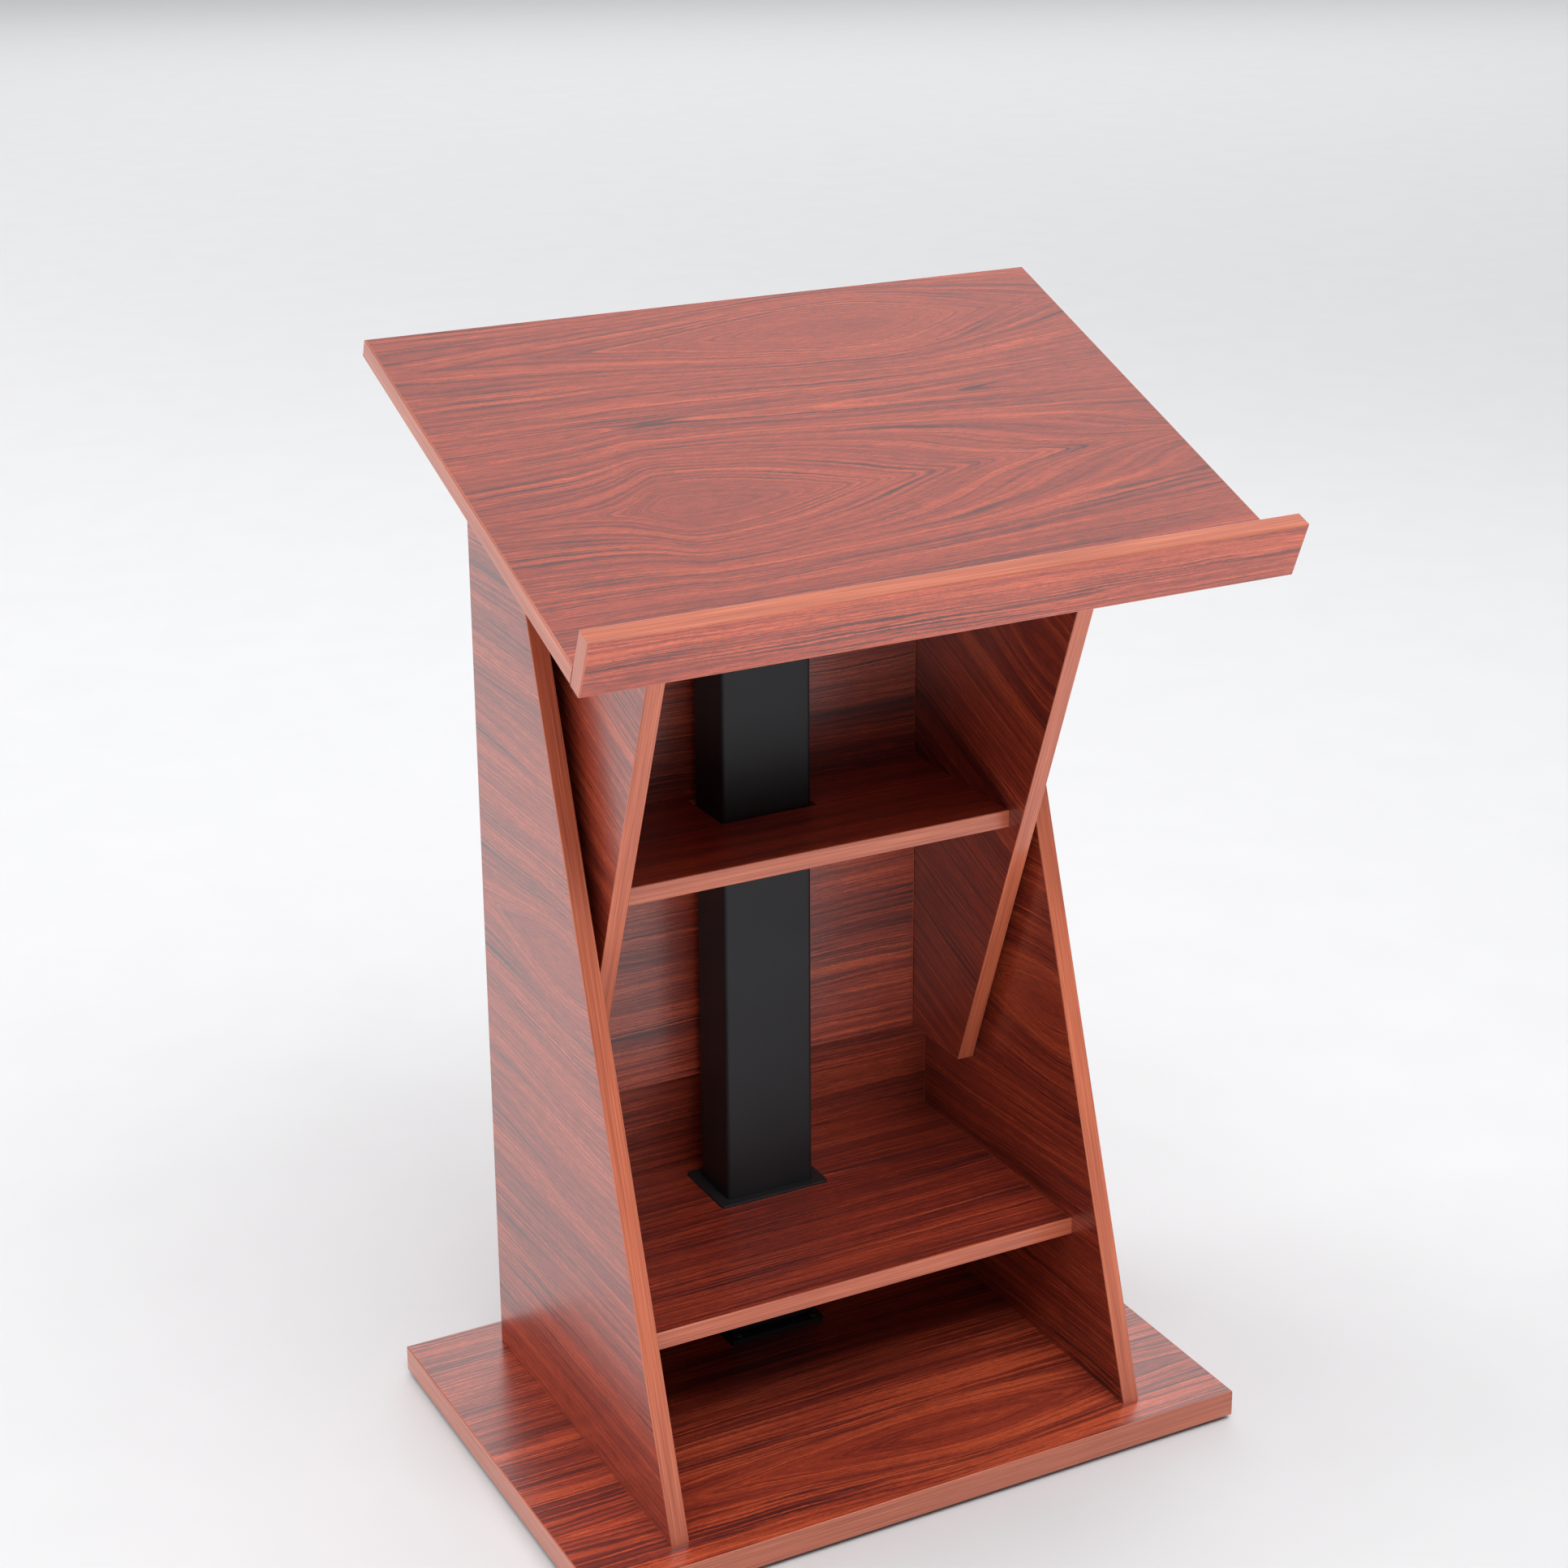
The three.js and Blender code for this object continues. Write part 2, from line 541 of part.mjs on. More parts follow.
// From the back of the handset up the desk's underside and down to the control box's front.
function handsetCable() {
  const rear = HANDSET.front + HANDSET.depth + GAP;
  const under = -BOARD - CABLE.radius - CABLE.drop;
  const [x, y] = [CONTROL_BOX.x, CONTROL_BOX.front - GAP];
  return cableAlong([
    deskPoint(HANDSET.x, rear, -BOARD - HANDSET.height / 2),
    deskPoint(HANDSET.x, rear + CABLE.stub, -BOARD - HANDSET.height / 2),
    deskPoint(HANDSET.x - 40, rear + 38, under),
    deskPoint(HANDSET.x - 130, rear + 50, under),
    deskPoint(x + 30, rear + 54, under - 4),
    new THREE.Vector3(x, y - CABLE.stub, CONTROL_Z),
    new THREE.Vector3(x, y, CONTROL_Z),
  ]);
}

function makeCarriage() {
  const group = new THREE.Group();
  group.add(makeDesk());
  addPiece(group, 'inner_panel_left', innerPanel(-1), MAHOGANY);
  addPiece(group, 'inner_panel_right', innerPanel(1), MAHOGANY);
  addPiece(group, 'inner_back_panel', innerBackPanel(), MAHOGANY);
  addPiece(group, 'upper_shelf', shelfBoard(UPPER_SHELF, INNER_INSIDE, INNER_BACK_FRONT), MAHOGANY);
  addPiece(group, 'support_board', supportBoard(), MAHOGANY);
  const tube = columnTube({ ...INNER_TUBE, z0: INNER_TUBE.bottom, z1: INNER_TUBE.top });
  addPiece(group, 'column_inner_tube', tube, BLACK_STEEL);
  addPiece(group, 'lower_glide_bushing', lowerBushing(), BLACK_PLASTIC);
  addPiece(group, 'column_head_plate', headPlate(), BLACK_STEEL);
  addPiece(group, 'gearbox_housing', gearboxHousing(), BLACK_PLASTIC);
  addPiece(group, 'drive_motor', driveMotor(), BLACK_STEEL);
  addPiece(group, 'lead_screw', leadScrew(), ZINC_STEEL);
  addPiece(group, 'control_box', controlBox(), BLACK_PLASTIC);
  addPiece(group, 'power_inlet', powerInlet(), BLACK_PLASTIC);
  addPiece(group, 'motor_cable', motorCable(), CABLE_JACKET);
  addPiece(group, 'handset_cable', handsetCable(), CABLE_JACKET);
  corners(HEAD_PLATE.screwX, HEAD_PLATE.screwY).forEach(([x, y], i) => {
    addPiece(group, `head_screw_${i + 1}`, plateScrew(x, y, HEAD_UNDER, 1), ZINC_STEEL);
  });
  addCamFittings(group, UPPER_SHELF, INNER_INSIDE, 'upper_shelf');
  return group;
}

// ---------- the whole lectern ----------

// The ledge overhangs the base, so the bounding box's centre is forward of the base's centre.
function boxCentreY() {
  const ledgeFront = deskPoint(0, -BOARD - GAP, LEDGE_STAND).y;
  return (ledgeFront + BASE.depth / 2) / 2;
}

const lectern = new THREE.Group();
lectern.position.y = -boxCentreY();
lectern.add(makeStand(), makeCarriage());

export default lectern;
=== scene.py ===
"""Looks of the presentation lectern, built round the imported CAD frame. Lengths are in metres."""

import json
import math

import bmesh
import bpy
from mathutils import Matrix, Vector


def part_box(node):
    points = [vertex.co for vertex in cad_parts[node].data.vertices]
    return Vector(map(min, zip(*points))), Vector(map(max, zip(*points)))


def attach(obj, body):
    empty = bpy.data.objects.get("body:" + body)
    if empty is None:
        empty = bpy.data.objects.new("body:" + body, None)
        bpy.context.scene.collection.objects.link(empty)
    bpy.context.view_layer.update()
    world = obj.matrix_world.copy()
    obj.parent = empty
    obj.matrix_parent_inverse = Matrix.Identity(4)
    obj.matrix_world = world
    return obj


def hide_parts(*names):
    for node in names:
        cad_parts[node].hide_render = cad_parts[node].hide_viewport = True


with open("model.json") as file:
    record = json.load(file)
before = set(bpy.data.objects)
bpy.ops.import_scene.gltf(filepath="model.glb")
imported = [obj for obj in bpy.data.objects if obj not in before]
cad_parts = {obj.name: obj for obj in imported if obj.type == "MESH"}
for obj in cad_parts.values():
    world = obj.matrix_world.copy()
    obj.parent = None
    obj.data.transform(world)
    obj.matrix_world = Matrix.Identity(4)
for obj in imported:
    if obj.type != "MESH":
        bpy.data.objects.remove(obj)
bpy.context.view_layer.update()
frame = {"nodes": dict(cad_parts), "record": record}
NODES = frame["nodes"]
BODY_OF = {node: body for body, nodes in frame["record"]["behaviour"]["bodies"].items() for node in nodes}

MM = 0.001
X, Y, Z = Vector((1, 0, 0)), Vector((0, 1, 0)), Vector((0, 0, 1))
TILT = math.radians(22)
UP_DESK = Vector((0, math.cos(TILT), math.sin(TILT)))
OFF_DESK = Vector((0, -math.sin(TILT), math.cos(TILT)))
GRAIN_UV = "Grain"
CORNER_STEPS = 8
HANDS = (("left", -1), ("right", 1))
ENDS = ("front", "back")

# Pan-head screws in millimetres: head radius, head height, shank radius and shank length.
PLATE_SCREW = (4.0, 2.4, 1.9, 16)
BRACKET_SCREW = (3.6, 2.2, 1.7, 11)
CASE_SCREW = (2.8, 1.4, 1.3, 12)
GEARBOX_SCREW = (2.6, 1.2, 1.2, 12)
MOTOR_SCREW = (2.4, 1.1, 1.1, 8)
CLIP_SCREW = (1.9, 1.2, 0.9, 7)


# ---------- camera, floor and light ----------

def add_camera():
    """A portrait-style view from the front left, a little above the desk, looking down."""
    place = (-1.00614, -1.84193, 1.34941)
    turn, down, roll = math.radians(27.17), math.radians(18.59), math.radians(-0.61)
    ahead = Vector((math.sin(turn) * math.cos(down), math.cos(turn) * math.cos(down), -math.sin(down)))
    level_right = ahead.cross(Z).normalized()
    level_up = level_right.cross(ahead)
    right = level_right * math.cos(roll) + level_up * math.sin(roll)
    up = level_up * math.cos(roll) - level_right * math.sin(roll)
    data = bpy.data.cameras.new("camera")
    data.sensor_width = 36
    data.lens = 66.8
    data.shift_x = 0.0207
    data.shift_y = -0.0704
    data.clip_start = 0.05
    data.clip_end = 200
    camera = bpy.data.objects.new("camera", data)
    bpy.context.scene.collection.objects.link(camera)
    camera.matrix_world = Matrix((
        (right.x, up.x, -ahead.x, place[0]),
        (right.y, up.y, -ahead.y, place[1]),
        (right.z, up.z, -ahead.z, place[2]),
        (0, 0, 0, 1),
    ))
    bpy.context.scene.camera = camera


def add_softbox(name, place, aim, width, height, watts):
    """A rectangular studio light at one place, turned towards another."""
    data = bpy.data.lights.new(name, "AREA")
    data.shape = "RECTANGLE"
    data.size = width
    data.size_y = height
    data.energy = watts
    light = bpy.data.objects.new(name, data)
    bpy.context.scene.collection.objects.link(light)
    light.location = place
    light.rotation_mode = "QUATERNION"
    light.rotation_quaternion = (Vector(aim) - Vector(place)).to_track_quat("-Z", "Y")
    return light


def add_overhead_light(place, aim, spread, strength):
    """A wide even light from far above, which reaches the floor right to the horizon."""
    data = bpy.data.lights.new("overhead", "SUN")
    data.angle = math.radians(spread)
    data.energy = strength
    light = bpy.data.objects.new("overhead", data)
    bpy.context.scene.collection.objects.link(light)
    light.rotation_mode = "QUATERNION"
    light.rotation_quaternion = (Vector(aim) - Vector(place)).to_track_quat("-Z", "Y")


def add_world():
    """Weak light from all round. The camera sees it as a bright backdrop, level with the floor."""
    world = bpy.data.worlds.new("studio")
    world.use_nodes = True
    tree = world.node_tree
    room = tree.nodes["Background"]
    room.inputs["Color"].default_value = (0.93, 0.95, 1.0, 1)
    room.inputs["Strength"].default_value = 0.20
    backdrop = tree.nodes.new("ShaderNodeBackground")
    backdrop.inputs["Color"].default_value = (0.97, 0.98, 1.0, 1)
    backdrop.inputs["Strength"].default_value = 0.60
    seen = tree.nodes.new("ShaderNodeLightPath")
    choice = tree.nodes.new("ShaderNodeMixShader")
    tree.links.new(seen.outputs["Is Camera Ray"], choice.inputs[0])
    tree.links.new(room.outputs[0], choice.inputs[1])
    tree.links.new(backdrop.outputs[0], choice.inputs[2])
    tree.links.new(choice.outputs[0], tree.nodes["World Output"].inputs["Surface"])
    bpy.context.scene.world = world


def add_studio():
    """Soft light from above, from behind on both sides and from the front. Two of the lights aren't
    mirrored in the laminate, because their images would hide the grain."""
    add_world()
    add_overhead_light((-0.1, -0.7, 3.0), (0, 0, 0.5), 60, 1.85)
    add_softbox("top_back_panel", (1.2, 1.4, 2.7), (0, 0, 0.5), 3.6, 3.0, 20)
    add_softbox("back_wall", (4.5, 9.5, 4.6), (0, 0, 0.3), 11.0, 4.6, 210)
    add_softbox("front_fill", (0.3, -1.8, 3.1), (0, 0, 0.3), 2.4, 1.4, 36)
    wall = add_softbox("back_left_wall", (-5.6, 4.1, 3.5), (0, 0, 0.4), 6.0, 3.2, 300)
    bounce = add_softbox("floor_bounce", (0.1, -0.8, 0.03), (0.1, -0.8, 1.0), 2.0, 0.7, 10)
    for unseen in (wall, bounce):
        unseen.visible_glossy = False
    bpy.context.scene.view_settings.view_transform = "Standard"
    bpy.context.scene.view_settings.look = "None"


def add_floor():
    """A plain pale floor that reaches the horizon."""
    mesh = bpy.data.meshes.new("floor")
    far = 40
    mesh.from_pydata([(-far, -far, 0), (far, -far, 0), (far, far, 0), (-far, far, 0)], [], [(0, 1, 2, 3)])
    floor = bpy.data.objects.new("floor", mesh)
    bpy.context.scene.collection.objects.link(floor)
    g = Graph("pale_floor")
    speckle = g.noise(g.position(), 9, detail=3)
    g.set("Base Color", g.ramp(speckle, [(0.3, (0.710, 0.710, 0.717)), (0.7, (0.725, 0.725, 0.732))]))
    g.set("Roughness", 0.75)
    mesh.materials.append(g.material)


# ---------- materials ----------

class Graph:
    """One material's nodes. Each call adds a node and gives back the output that is wanted."""

    def __init__(self, name):
        self.material = bpy.data.materials.new(name)
        self.material.use_nodes = True
        self.tree = self.material.node_tree
        self.tree.nodes.clear()
        output = self.tree.nodes.new("ShaderNodeOutputMaterial")
        self.shader = self.tree.nodes.new("ShaderNodeBsdfPrincipled")
        self.tree.links.new(self.shader.outputs["BSDF"], output.inputs["Surface"])

    def put(self, socket, value):
        if isinstance(value, bpy.types.NodeSocket):
            self.tree.links.new(value, socket)
        elif isinstance(value, tuple) and len(value) == 3 and socket.type == "RGBA":
            socket.default_value = (*value, 1)
        else:
            socket.default_value = value

    def set(self, name, value):
        self.put(self.shader.inputs[name], value)

    def position(self):
        """The place on the object, in metres."""
        return self.tree.nodes.new("ShaderNodeTexCoord").outputs["Object"]

    def grain(self):
        """Lengths along and across a board's grain, which lay_grain gives it."""
        node = self.tree.nodes.new("ShaderNodeUVMap")
        node.uv_map = GRAIN_UV
        return node.outputs["UV"]

    def math(self, operation, *values):
        node = self.tree.nodes.new("ShaderNodeMath")
        node.operation = operation
        for socket, value in zip(node.inputs, values):
            self.put(socket, value)
        return node.outputs["Value"]

    def split(self, vector):
        node = self.tree.nodes.new("ShaderNodeSeparateXYZ")
        self.put(node.inputs[0], vector)
        return node.outputs[0], node.outputs[1]

    def join(self, x, y):
        node = self.tree.nodes.new("ShaderNodeCombineXYZ")
        self.put(node.inputs[0], x)
        self.put(node.inputs[1], y)
        return node.outputs[0]

    def stretch(self, vector, scale):
        node = self.tree.nodes.new("ShaderNodeVectorMath")
        node.operation = "MULTIPLY"
        self.put(node.inputs[0], vector)
        node.inputs[1].default_value = scale
        return node.outputs["Vector"]

    def noise(self, vector, scale, detail, roughness=0.5):
        node = self.tree.nodes.new("ShaderNodeTexNoise")
        self.put(node.inputs["Vector"], vector)
        node.inputs["Scale"].default_value = scale
        node.inputs["Detail"].default_value = detail
        node.inputs["Roughness"].default_value = roughness
        return node.outputs["Fac"]

    def ramp(self, value, stops):
        node = self.tree.nodes.new("ShaderNodeValToRGB")
        self.put(node.inputs["Fac"], value)
        elements = node.color_ramp.elements
        while len(elements) < len(stops):
            elements.new(0.5)
        for element, (place, colour) in zip(elements, stops):
            element.position = place
            element.color = (*colour, 1) if isinstance(colour, tuple) else (colour, colour, colour, 1)
        return node.outputs["Color"]

    def mix(self, factor, a, b, blend="MIX"):
        """Mixes two colours. The node has sockets of several kinds, so the colour ones go by number."""
        node = self.tree.nodes.new("ShaderNodeMix")
        node.data_type = "RGBA"
        node.blend_type = blend
        first_colour, second_colour, mixed_colour = 6, 7, 2
        self.put(node.inputs["Factor"], factor)
        self.put(node.inputs[first_colour], a)
        self.put(node.inputs[second_colour], b)
        return node.outputs[mixed_colour]

    def bump(self, height, strength, distance):
        node = self.tree.nodes.new("ShaderNodeBump")
        node.inputs["Strength"].default_value = strength
        node.inputs["Distance"].default_value = distance
        self.put(node.inputs["Height"], height)
        self.set("Normal", node.outputs["Normal"])


def heart_distance(g, along, across, heart):
    """Ring height round one heart of the log: it climbs away from the line across = y, and along that
    line it climbs to the left and right by their own rise and reach, which makes pointed ovals."""
    x, y, (left_rise, left_reach), (right_rise, right_reach), width = heart
    bluntness = 0.003
    u = g.math("SUBTRACT", along, x)
    v = g.math("SUBTRACT", across, y)
    v_squared = g.math("MULTIPLY", v, v)
    off_line = g.math("SQRT", g.math("ADD", v_squared, bluntness ** 2))
    to_right = g.math("GREATER_THAN", u, 0.0)
    rise = g.math("MULTIPLY_ADD", to_right, right_rise - left_rise, left_rise)
    reach = g.math("MULTIPLY_ADD", to_right, right_reach ** 2 - left_reach ** 2, left_reach ** 2)
    u_squared = g.math("MULTIPLY", u, u)
    climb = g.math("MULTIPLY", rise, g.math("DIVIDE", u_squared, g.math("ADD", u_squared, reach)))
    fall_off = g.math("MULTIPLY_ADD", v_squared, 1 / width ** 2, 1.0)
    return g.math("ADD", off_line, g.math("DIVIDE", climb, fall_off))


def growth_height(g, along, across, hearts):
    """The field whose contour lines are the growth rings."""
    if not hearts:
        return across
    softness = 0.02
    height = heart_distance(g, along, across, hearts[0])
    for heart in hearts[1:]:
        height = g.math("SMOOTH_MIN", height, heart_distance(g, along, across, heart), softness)
    return height


def mahogany(name, hearts, shift, contrast, lift):
    """Mahogany-look laminate: growth lines round the hearts, thin dark veins, fibres and pores. shift
    picks the stretch of veneer, contrast spreads its tones and lift makes it lighter."""
    g = Graph(name)
    along, across = g.split(g.grain())
    sheet = g.join(g.math("ADD", along, shift[0]), g.math("ADD", across, shift[1]))
    slow = g.noise(g.stretch(sheet, (2.2, 7, 1)), 1, detail=1)
    quick = g.noise(g.stretch(sheet, (13, 60, 1)), 1, detail=3)
    teeth = g.noise(g.stretch(sheet, (220, 700, 1)), 1, detail=2)
    across = g.math("MULTIPLY_ADD", g.math("SUBTRACT", slow, 0.5), 0.030, across)
    across = g.math("MULTIPLY_ADD", g.math("SUBTRACT", quick, 0.5), 0.006, across)
    across = g.math("MULTIPLY_ADD", g.math("SUBTRACT", teeth, 0.5), 0.0013, across)
    height = growth_height(g, along, across, hearts)
    growth = g.join(g.math("ADD", along, shift[0]), g.math("ADD", height, shift[1]))

    broad = g.noise(g.stretch(growth, (1.8, 48, 1)), 1, detail=2)
    streaks = g.noise(g.stretch(growth, (3.6, 540, 1)), 1, detail=5, roughness=0.70)
    clusters = g.noise(g.stretch(growth, (2.4, 52, 1)), 1, detail=1)
    veins = g.noise(g.stretch(growth, (3.0, 520, 1)), 1, detail=3, roughness=0.6)
    fibres = g.noise(g.stretch(sheet, (55, 1500, 1)), 1, detail=3, roughness=0.65)
    pores = g.ramp(g.noise(g.stretch(sheet, (230, 1900, 1)), 1, detail=1), [(0.57, 0.0), (0.68, 1.0)])

    calm = g.ramp(height, [(0.004, 0.25), (0.045, 1.0)]) if hearts else 1.0
    streaks = g.math("MULTIPLY_ADD", g.math("SUBTRACT", streaks, 0.5), calm, 0.5)
    tone = g.math("MULTIPLY_ADD", broad, 0.32, g.math("MULTIPLY", streaks, 0.68))
    middle_tone = 0.49
    tone = g.math("MULTIPLY_ADD", g.math("SUBTRACT", tone, middle_tone), contrast, middle_tone + lift)
    wood = g.ramp(tone, [
        (0.36, (0.088, 0.012, 0.010)),
        (0.44, (0.215, 0.026, 0.014)),
        (0.51, (0.350, 0.046, 0.020)),
        (0.60, (0.580, 0.094, 0.034)),
    ])
    veins = g.math("MULTIPLY_ADD", g.math("SUBTRACT", clusters, 0.5), 0.50, veins)
    veins = g.math("MULTIPLY", g.ramp(veins, [(0.56, 0.0), (0.61, 0.9)]), calm)
    fade = g.ramp(g.noise(g.stretch(sheet, (6, 45, 1)), 1, detail=2), [(0.36, 0.2), (0.62, 1.0)])
    wood = g.mix(g.math("MULTIPLY", veins, fade), wood, (0.050, 0.012, 0.014))
    wood = g.mix(0.8, wood, g.ramp(fibres, [(0.3, 0.22), (0.7, 0.8)]), blend="OVERLAY")
    wood = g.mix(g.math("MULTIPLY", pores, 0.5), wood, (0.06, 0.018, 0.015))
    g.set("Base Color", wood)
    g.set("Roughness", g.ramp(fibres, [(0.2, 0.40), (0.8, 0.33)]))
    g.set("Specular IOR Level", 0.7)
    g.set("Coat Weight", 0.8)
    g.set("Coat Roughness", 0.25)
    g.bump(g.math("MULTIPLY_ADD", pores, -0.6, fibres), 0.10, 0.0003)
    return g.material


def edge_band():
    """The plastic edging, paler than the laminate. Its second coordinate is the depth through the board:
    fine lines run along the edge, under a broader light and dark."""
    g = Graph("mahogany_edge_band")
    place = g.grain()
    lines = g.noise(g.stretch(place, (9, 900, 1)), 1, detail=3, roughness=0.6)
    broad = g.noise(g.stretch(place, (5, 170, 1)), 1, detail=2)
    tone = g.ramp(lines, [
        (0.3, (0.36, 0.074, 0.032)),
        (0.5, (0.55, 0.130, 0.058)),
        (0.7, (0.69, 0.205, 0.102)),
    ])
    tone = g.mix(g.ramp(broad, [(0.4, 0.0), (0.72, 0.6)]), tone, (0.36, 0.070, 0.032))
    g.set("Base Color", tone)
    g.set("Roughness", g.ramp(lines, [(0.2, 0.42), (0.8, 0.34)]))
    g.set("Coat Weight", 0.8)
    g.set("Coat Roughness", 0.24)
    g.bump(lines, 0.08, 0.0002)
    return g.material


def powder_coat():
    """Satin black paint with a faint orange-peel texture."""
    g = Graph("black_powder_coat_satin")
    where = g.position()
    peel = g.noise(where, 1400, detail=2)
    cloud = g.noise(where, 9, detail=2)
    g.set("Base Color", g.ramp(cloud, [(0.3, (0.018, 0.018, 0.020)), (0.7, (0.024, 0.024, 0.027))]))
    g.set("Roughness", g.ramp(cloud, [(0.3, 0.44), (0.7, 0.50)]))
    g.set("Specular IOR Level", 0.32)
    g.bump(peel, 0.06, 0.0002)
    return g.material


def moulded_plastic(name, dark, light):
    """Moulded plastic with a fine spark-eroded texture."""
    g = Graph(name)
    where = g.position()
    pits = g.noise(where, 2600, detail=2)
    cloud = g.noise(where, 40, detail=3)
    g.set("Base Color", g.ramp(cloud, [(0.3, dark), (0.7, light)]))
    g.set("Roughness", g.ramp(pits, [(0.3, 0.48), (0.7, 0.60)]))
    g.bump(pits, 0.25, 0.0002)
    return g.material


def zinc_plate():
    """Bright zinc on steel: small cloudy patches and fine rubbed lines."""
    g = Graph("zinc_plated_steel")
    where = g.position()
    patches = g.noise(where, 170, detail=3)
    rubbed = g.noise(g.stretch(where, (60, 900, 900)), 1, detail=2)
    g.set("Base Color", g.ramp(patches, [(0.3, (0.50, 0.51, 0.53)), (0.7, (0.66, 0.67, 0.69))]))
    g.set("Metallic", 1.0)
    g.set("Roughness", g.ramp(rubbed, [(0.3, 0.26), (0.7, 0.40)]))
    g.bump(rubbed, 0.08, 0.0001)
    return g.material


def cable_rubber():
    """Matt black cable jacket."""
    g = Graph("black_cable_jacket")
    where = g.position()
    skin = g.noise(where, 700, detail=3)
    g.set("Base Color", g.ramp(skin, [(0.3, (0.014, 0.014, 0.015)), (0.7, (0.026, 0.026, 0.028))]))
    g.set("Roughness", g.ramp(skin, [(0.3, 0.52), (0.7, 0.66)]))
    g.bump(skin, 0.15, 0.0002)
    return g.material


def brass():
    """Drawn brass for the inlet's pins."""
    g = Graph("brass_contacts")
    drawn = g.noise(g.stretch(g.position(), (3000, 90, 3000)), 1, detail=2)
    g.set("Base Color", g.ramp(drawn, [(0.3, (0.62, 0.43, 0.17)), (0.7, (0.78, 0.57, 0.25))]))
    g.set("Metallic", 1.0)
    g.set("Roughness", g.ramp(drawn, [(0.3, 0.22), (0.7, 0.34)]))
    return g.material


# ---------- shapes ----------

def cad_shape(node):
    """A welded copy of a CAD node's mesh, with its flat faces whole again."""
    shape = bmesh.new()
    shape.from_mesh(NODES[node].data)
    bmesh.ops.remove_doubles(shape, verts=shape.verts, dist=0.01 * MM)
    bmesh.ops.dissolve_limit(shape, angle_limit=math.radians(0.5), verts=shape.verts, edges=shape.edges)
    shape.normal_update()
    return shape


def round_edges(shape, width, segments, shortest=0.0, least_angle=50):
    """Rounds every edge that is sharper than least_angle and longer than shortest."""
    least = math.radians(least_angle)
    edges = [
        edge for edge in shape.edges
        if edge.is_manifold and edge.calc_face_angle() > least and edge.calc_length() > shortest
    ]
    bmesh.ops.bevel(
        shape, geom=edges, offset=width, offset_type="OFFSET", segments=segments,
        profile=0.5, affect="EDGES", clamp_overlap=True,
    )
    bmesh.ops.remove_doubles(shape, verts=shape.verts, dist=0.005 * MM)
    bmesh.ops.dissolve_degenerate(shape, edges=shape.edges, dist=0.005 * MM)
    shape.normal_update()


def outline_radius(kind, angle, size):
    """How far the outline reaches at an angle: a circle, a hexagon or the cross of a driver recess."""
    c, s = max(abs(math.cos(angle)), 1e-6), max(abs(math.sin(angle)), 1e-6)
    if kind == "hex":
        return size * math.cos(math.pi / 6) / math.cos(angle % (math.pi / 3) - math.pi / 6)
    if kind == "cross":
        arm = 0.3 * size
        return max(min(size / c, arm / s), min(size / s, arm / c))
    return size


def add_turned(shape, centre, axis, profile, sides=32):
    """Adds a turned solid. profile lists (distance along axis, radius) or (distance, radius, outline)."""
    across = (X if abs(axis.dot(X)) < 0.9 else Y).cross(axis).normalized()
    other = axis.cross(across)
    loops = []
    for distance, radius, *kind in profile:
        ring = []
        for i in range(sides):
            angle = math.tau * i / sides
            reach = outline_radius(kind[0] if kind else "round", angle, radius)
            offset = across * (math.cos(angle) * reach) + other * (math.sin(angle) * reach)
            ring.append(shape.verts.new(centre + axis * distance + offset))
        loops.append(ring)
    for low, high in zip(loops, loops[1:]):
        for i in range(sides):
            j = (i + 1) % sides
            shape.faces.new((low[i], low[j], high[j], high[i]))
    shape.faces.new(list(reversed(loops[0])))
    shape.faces.new(loops[-1])


def rounded_loop(width, depth, corner):
    """Points (x, y) of a rectangle with rounded corners, anticlockwise."""
    points = []
    for quarter, (i, j) in enumerate([(1, 1), (-1, 1), (-1, -1), (1, -1)]):
        centre = (i * (width / 2 - corner), j * (depth / 2 - corner))
        for step in range(CORNER_STEPS + 1):
            angle = math.pi / 2 * (quarter + step / CORNER_STEPS)
            points.append((centre[0] + corner * math.cos(angle), centre[1] + corner * math.sin(angle)))
    return points


def add_sleeve(shape, x, y, levels):
    """Adds a closed ring of walls. levels lists (z, width, depth, corner) up the outside, then down the
    inside, and the last level joins the first."""
    loops = []
    for z, width, depth, corner in levels:
        loop = rounded_loop(width, depth, corner)
        loops.append([shape.verts.new((x + px, y + py, z)) for px, py in loop])
    count = len(loops[0])
    for low, high in zip(loops, loops[1:] + loops[:1]):
        for i in range(count):
            j = (i + 1) % count
            shape.faces.new((low[i], low[j], high[j], high[i]))


def add_tube(shape, box, corner, wall):
    """Adds a rectangular steel tube with rounded corners and slightly broken ends."""
    lo, hi = box
    x, y = (lo.x + hi.x) / 2, (lo.y + hi.y) / 2
    width, depth, lip = hi.x - lo.x, hi.y - lo.y, 0.4 * MM
    outside = (width, depth, corner)
    mouth = (width - 2 * lip, depth - 2 * lip, corner - lip)
    inside = (width - 2 * wall, depth - 2 * wall, corner - wall)
    add_sleeve(shape, x, y, [
        (lo.z, *mouth), (lo.z + lip, *outside), (hi.z - lip, *outside), (hi.z, *mouth),
        (hi.z, *inside), (lo.z, *inside),
    ])


def add_block(shape, low, high):
    """Adds a box between two corners."""
    ends = list(zip(low, high))
    v = [shape.verts.new((x, y, z)) for z in ends[2] for y in ends[1] for x in ends[0]]
    for a, b, c, d in ((0, 2, 3, 1), (4, 5, 7, 6), (0, 1, 5, 4), (2, 6, 7, 3), (0, 4, 6, 2), (1, 3, 7, 5)):
        shape.faces.new((v[a], v[b], v[c], v[d]))


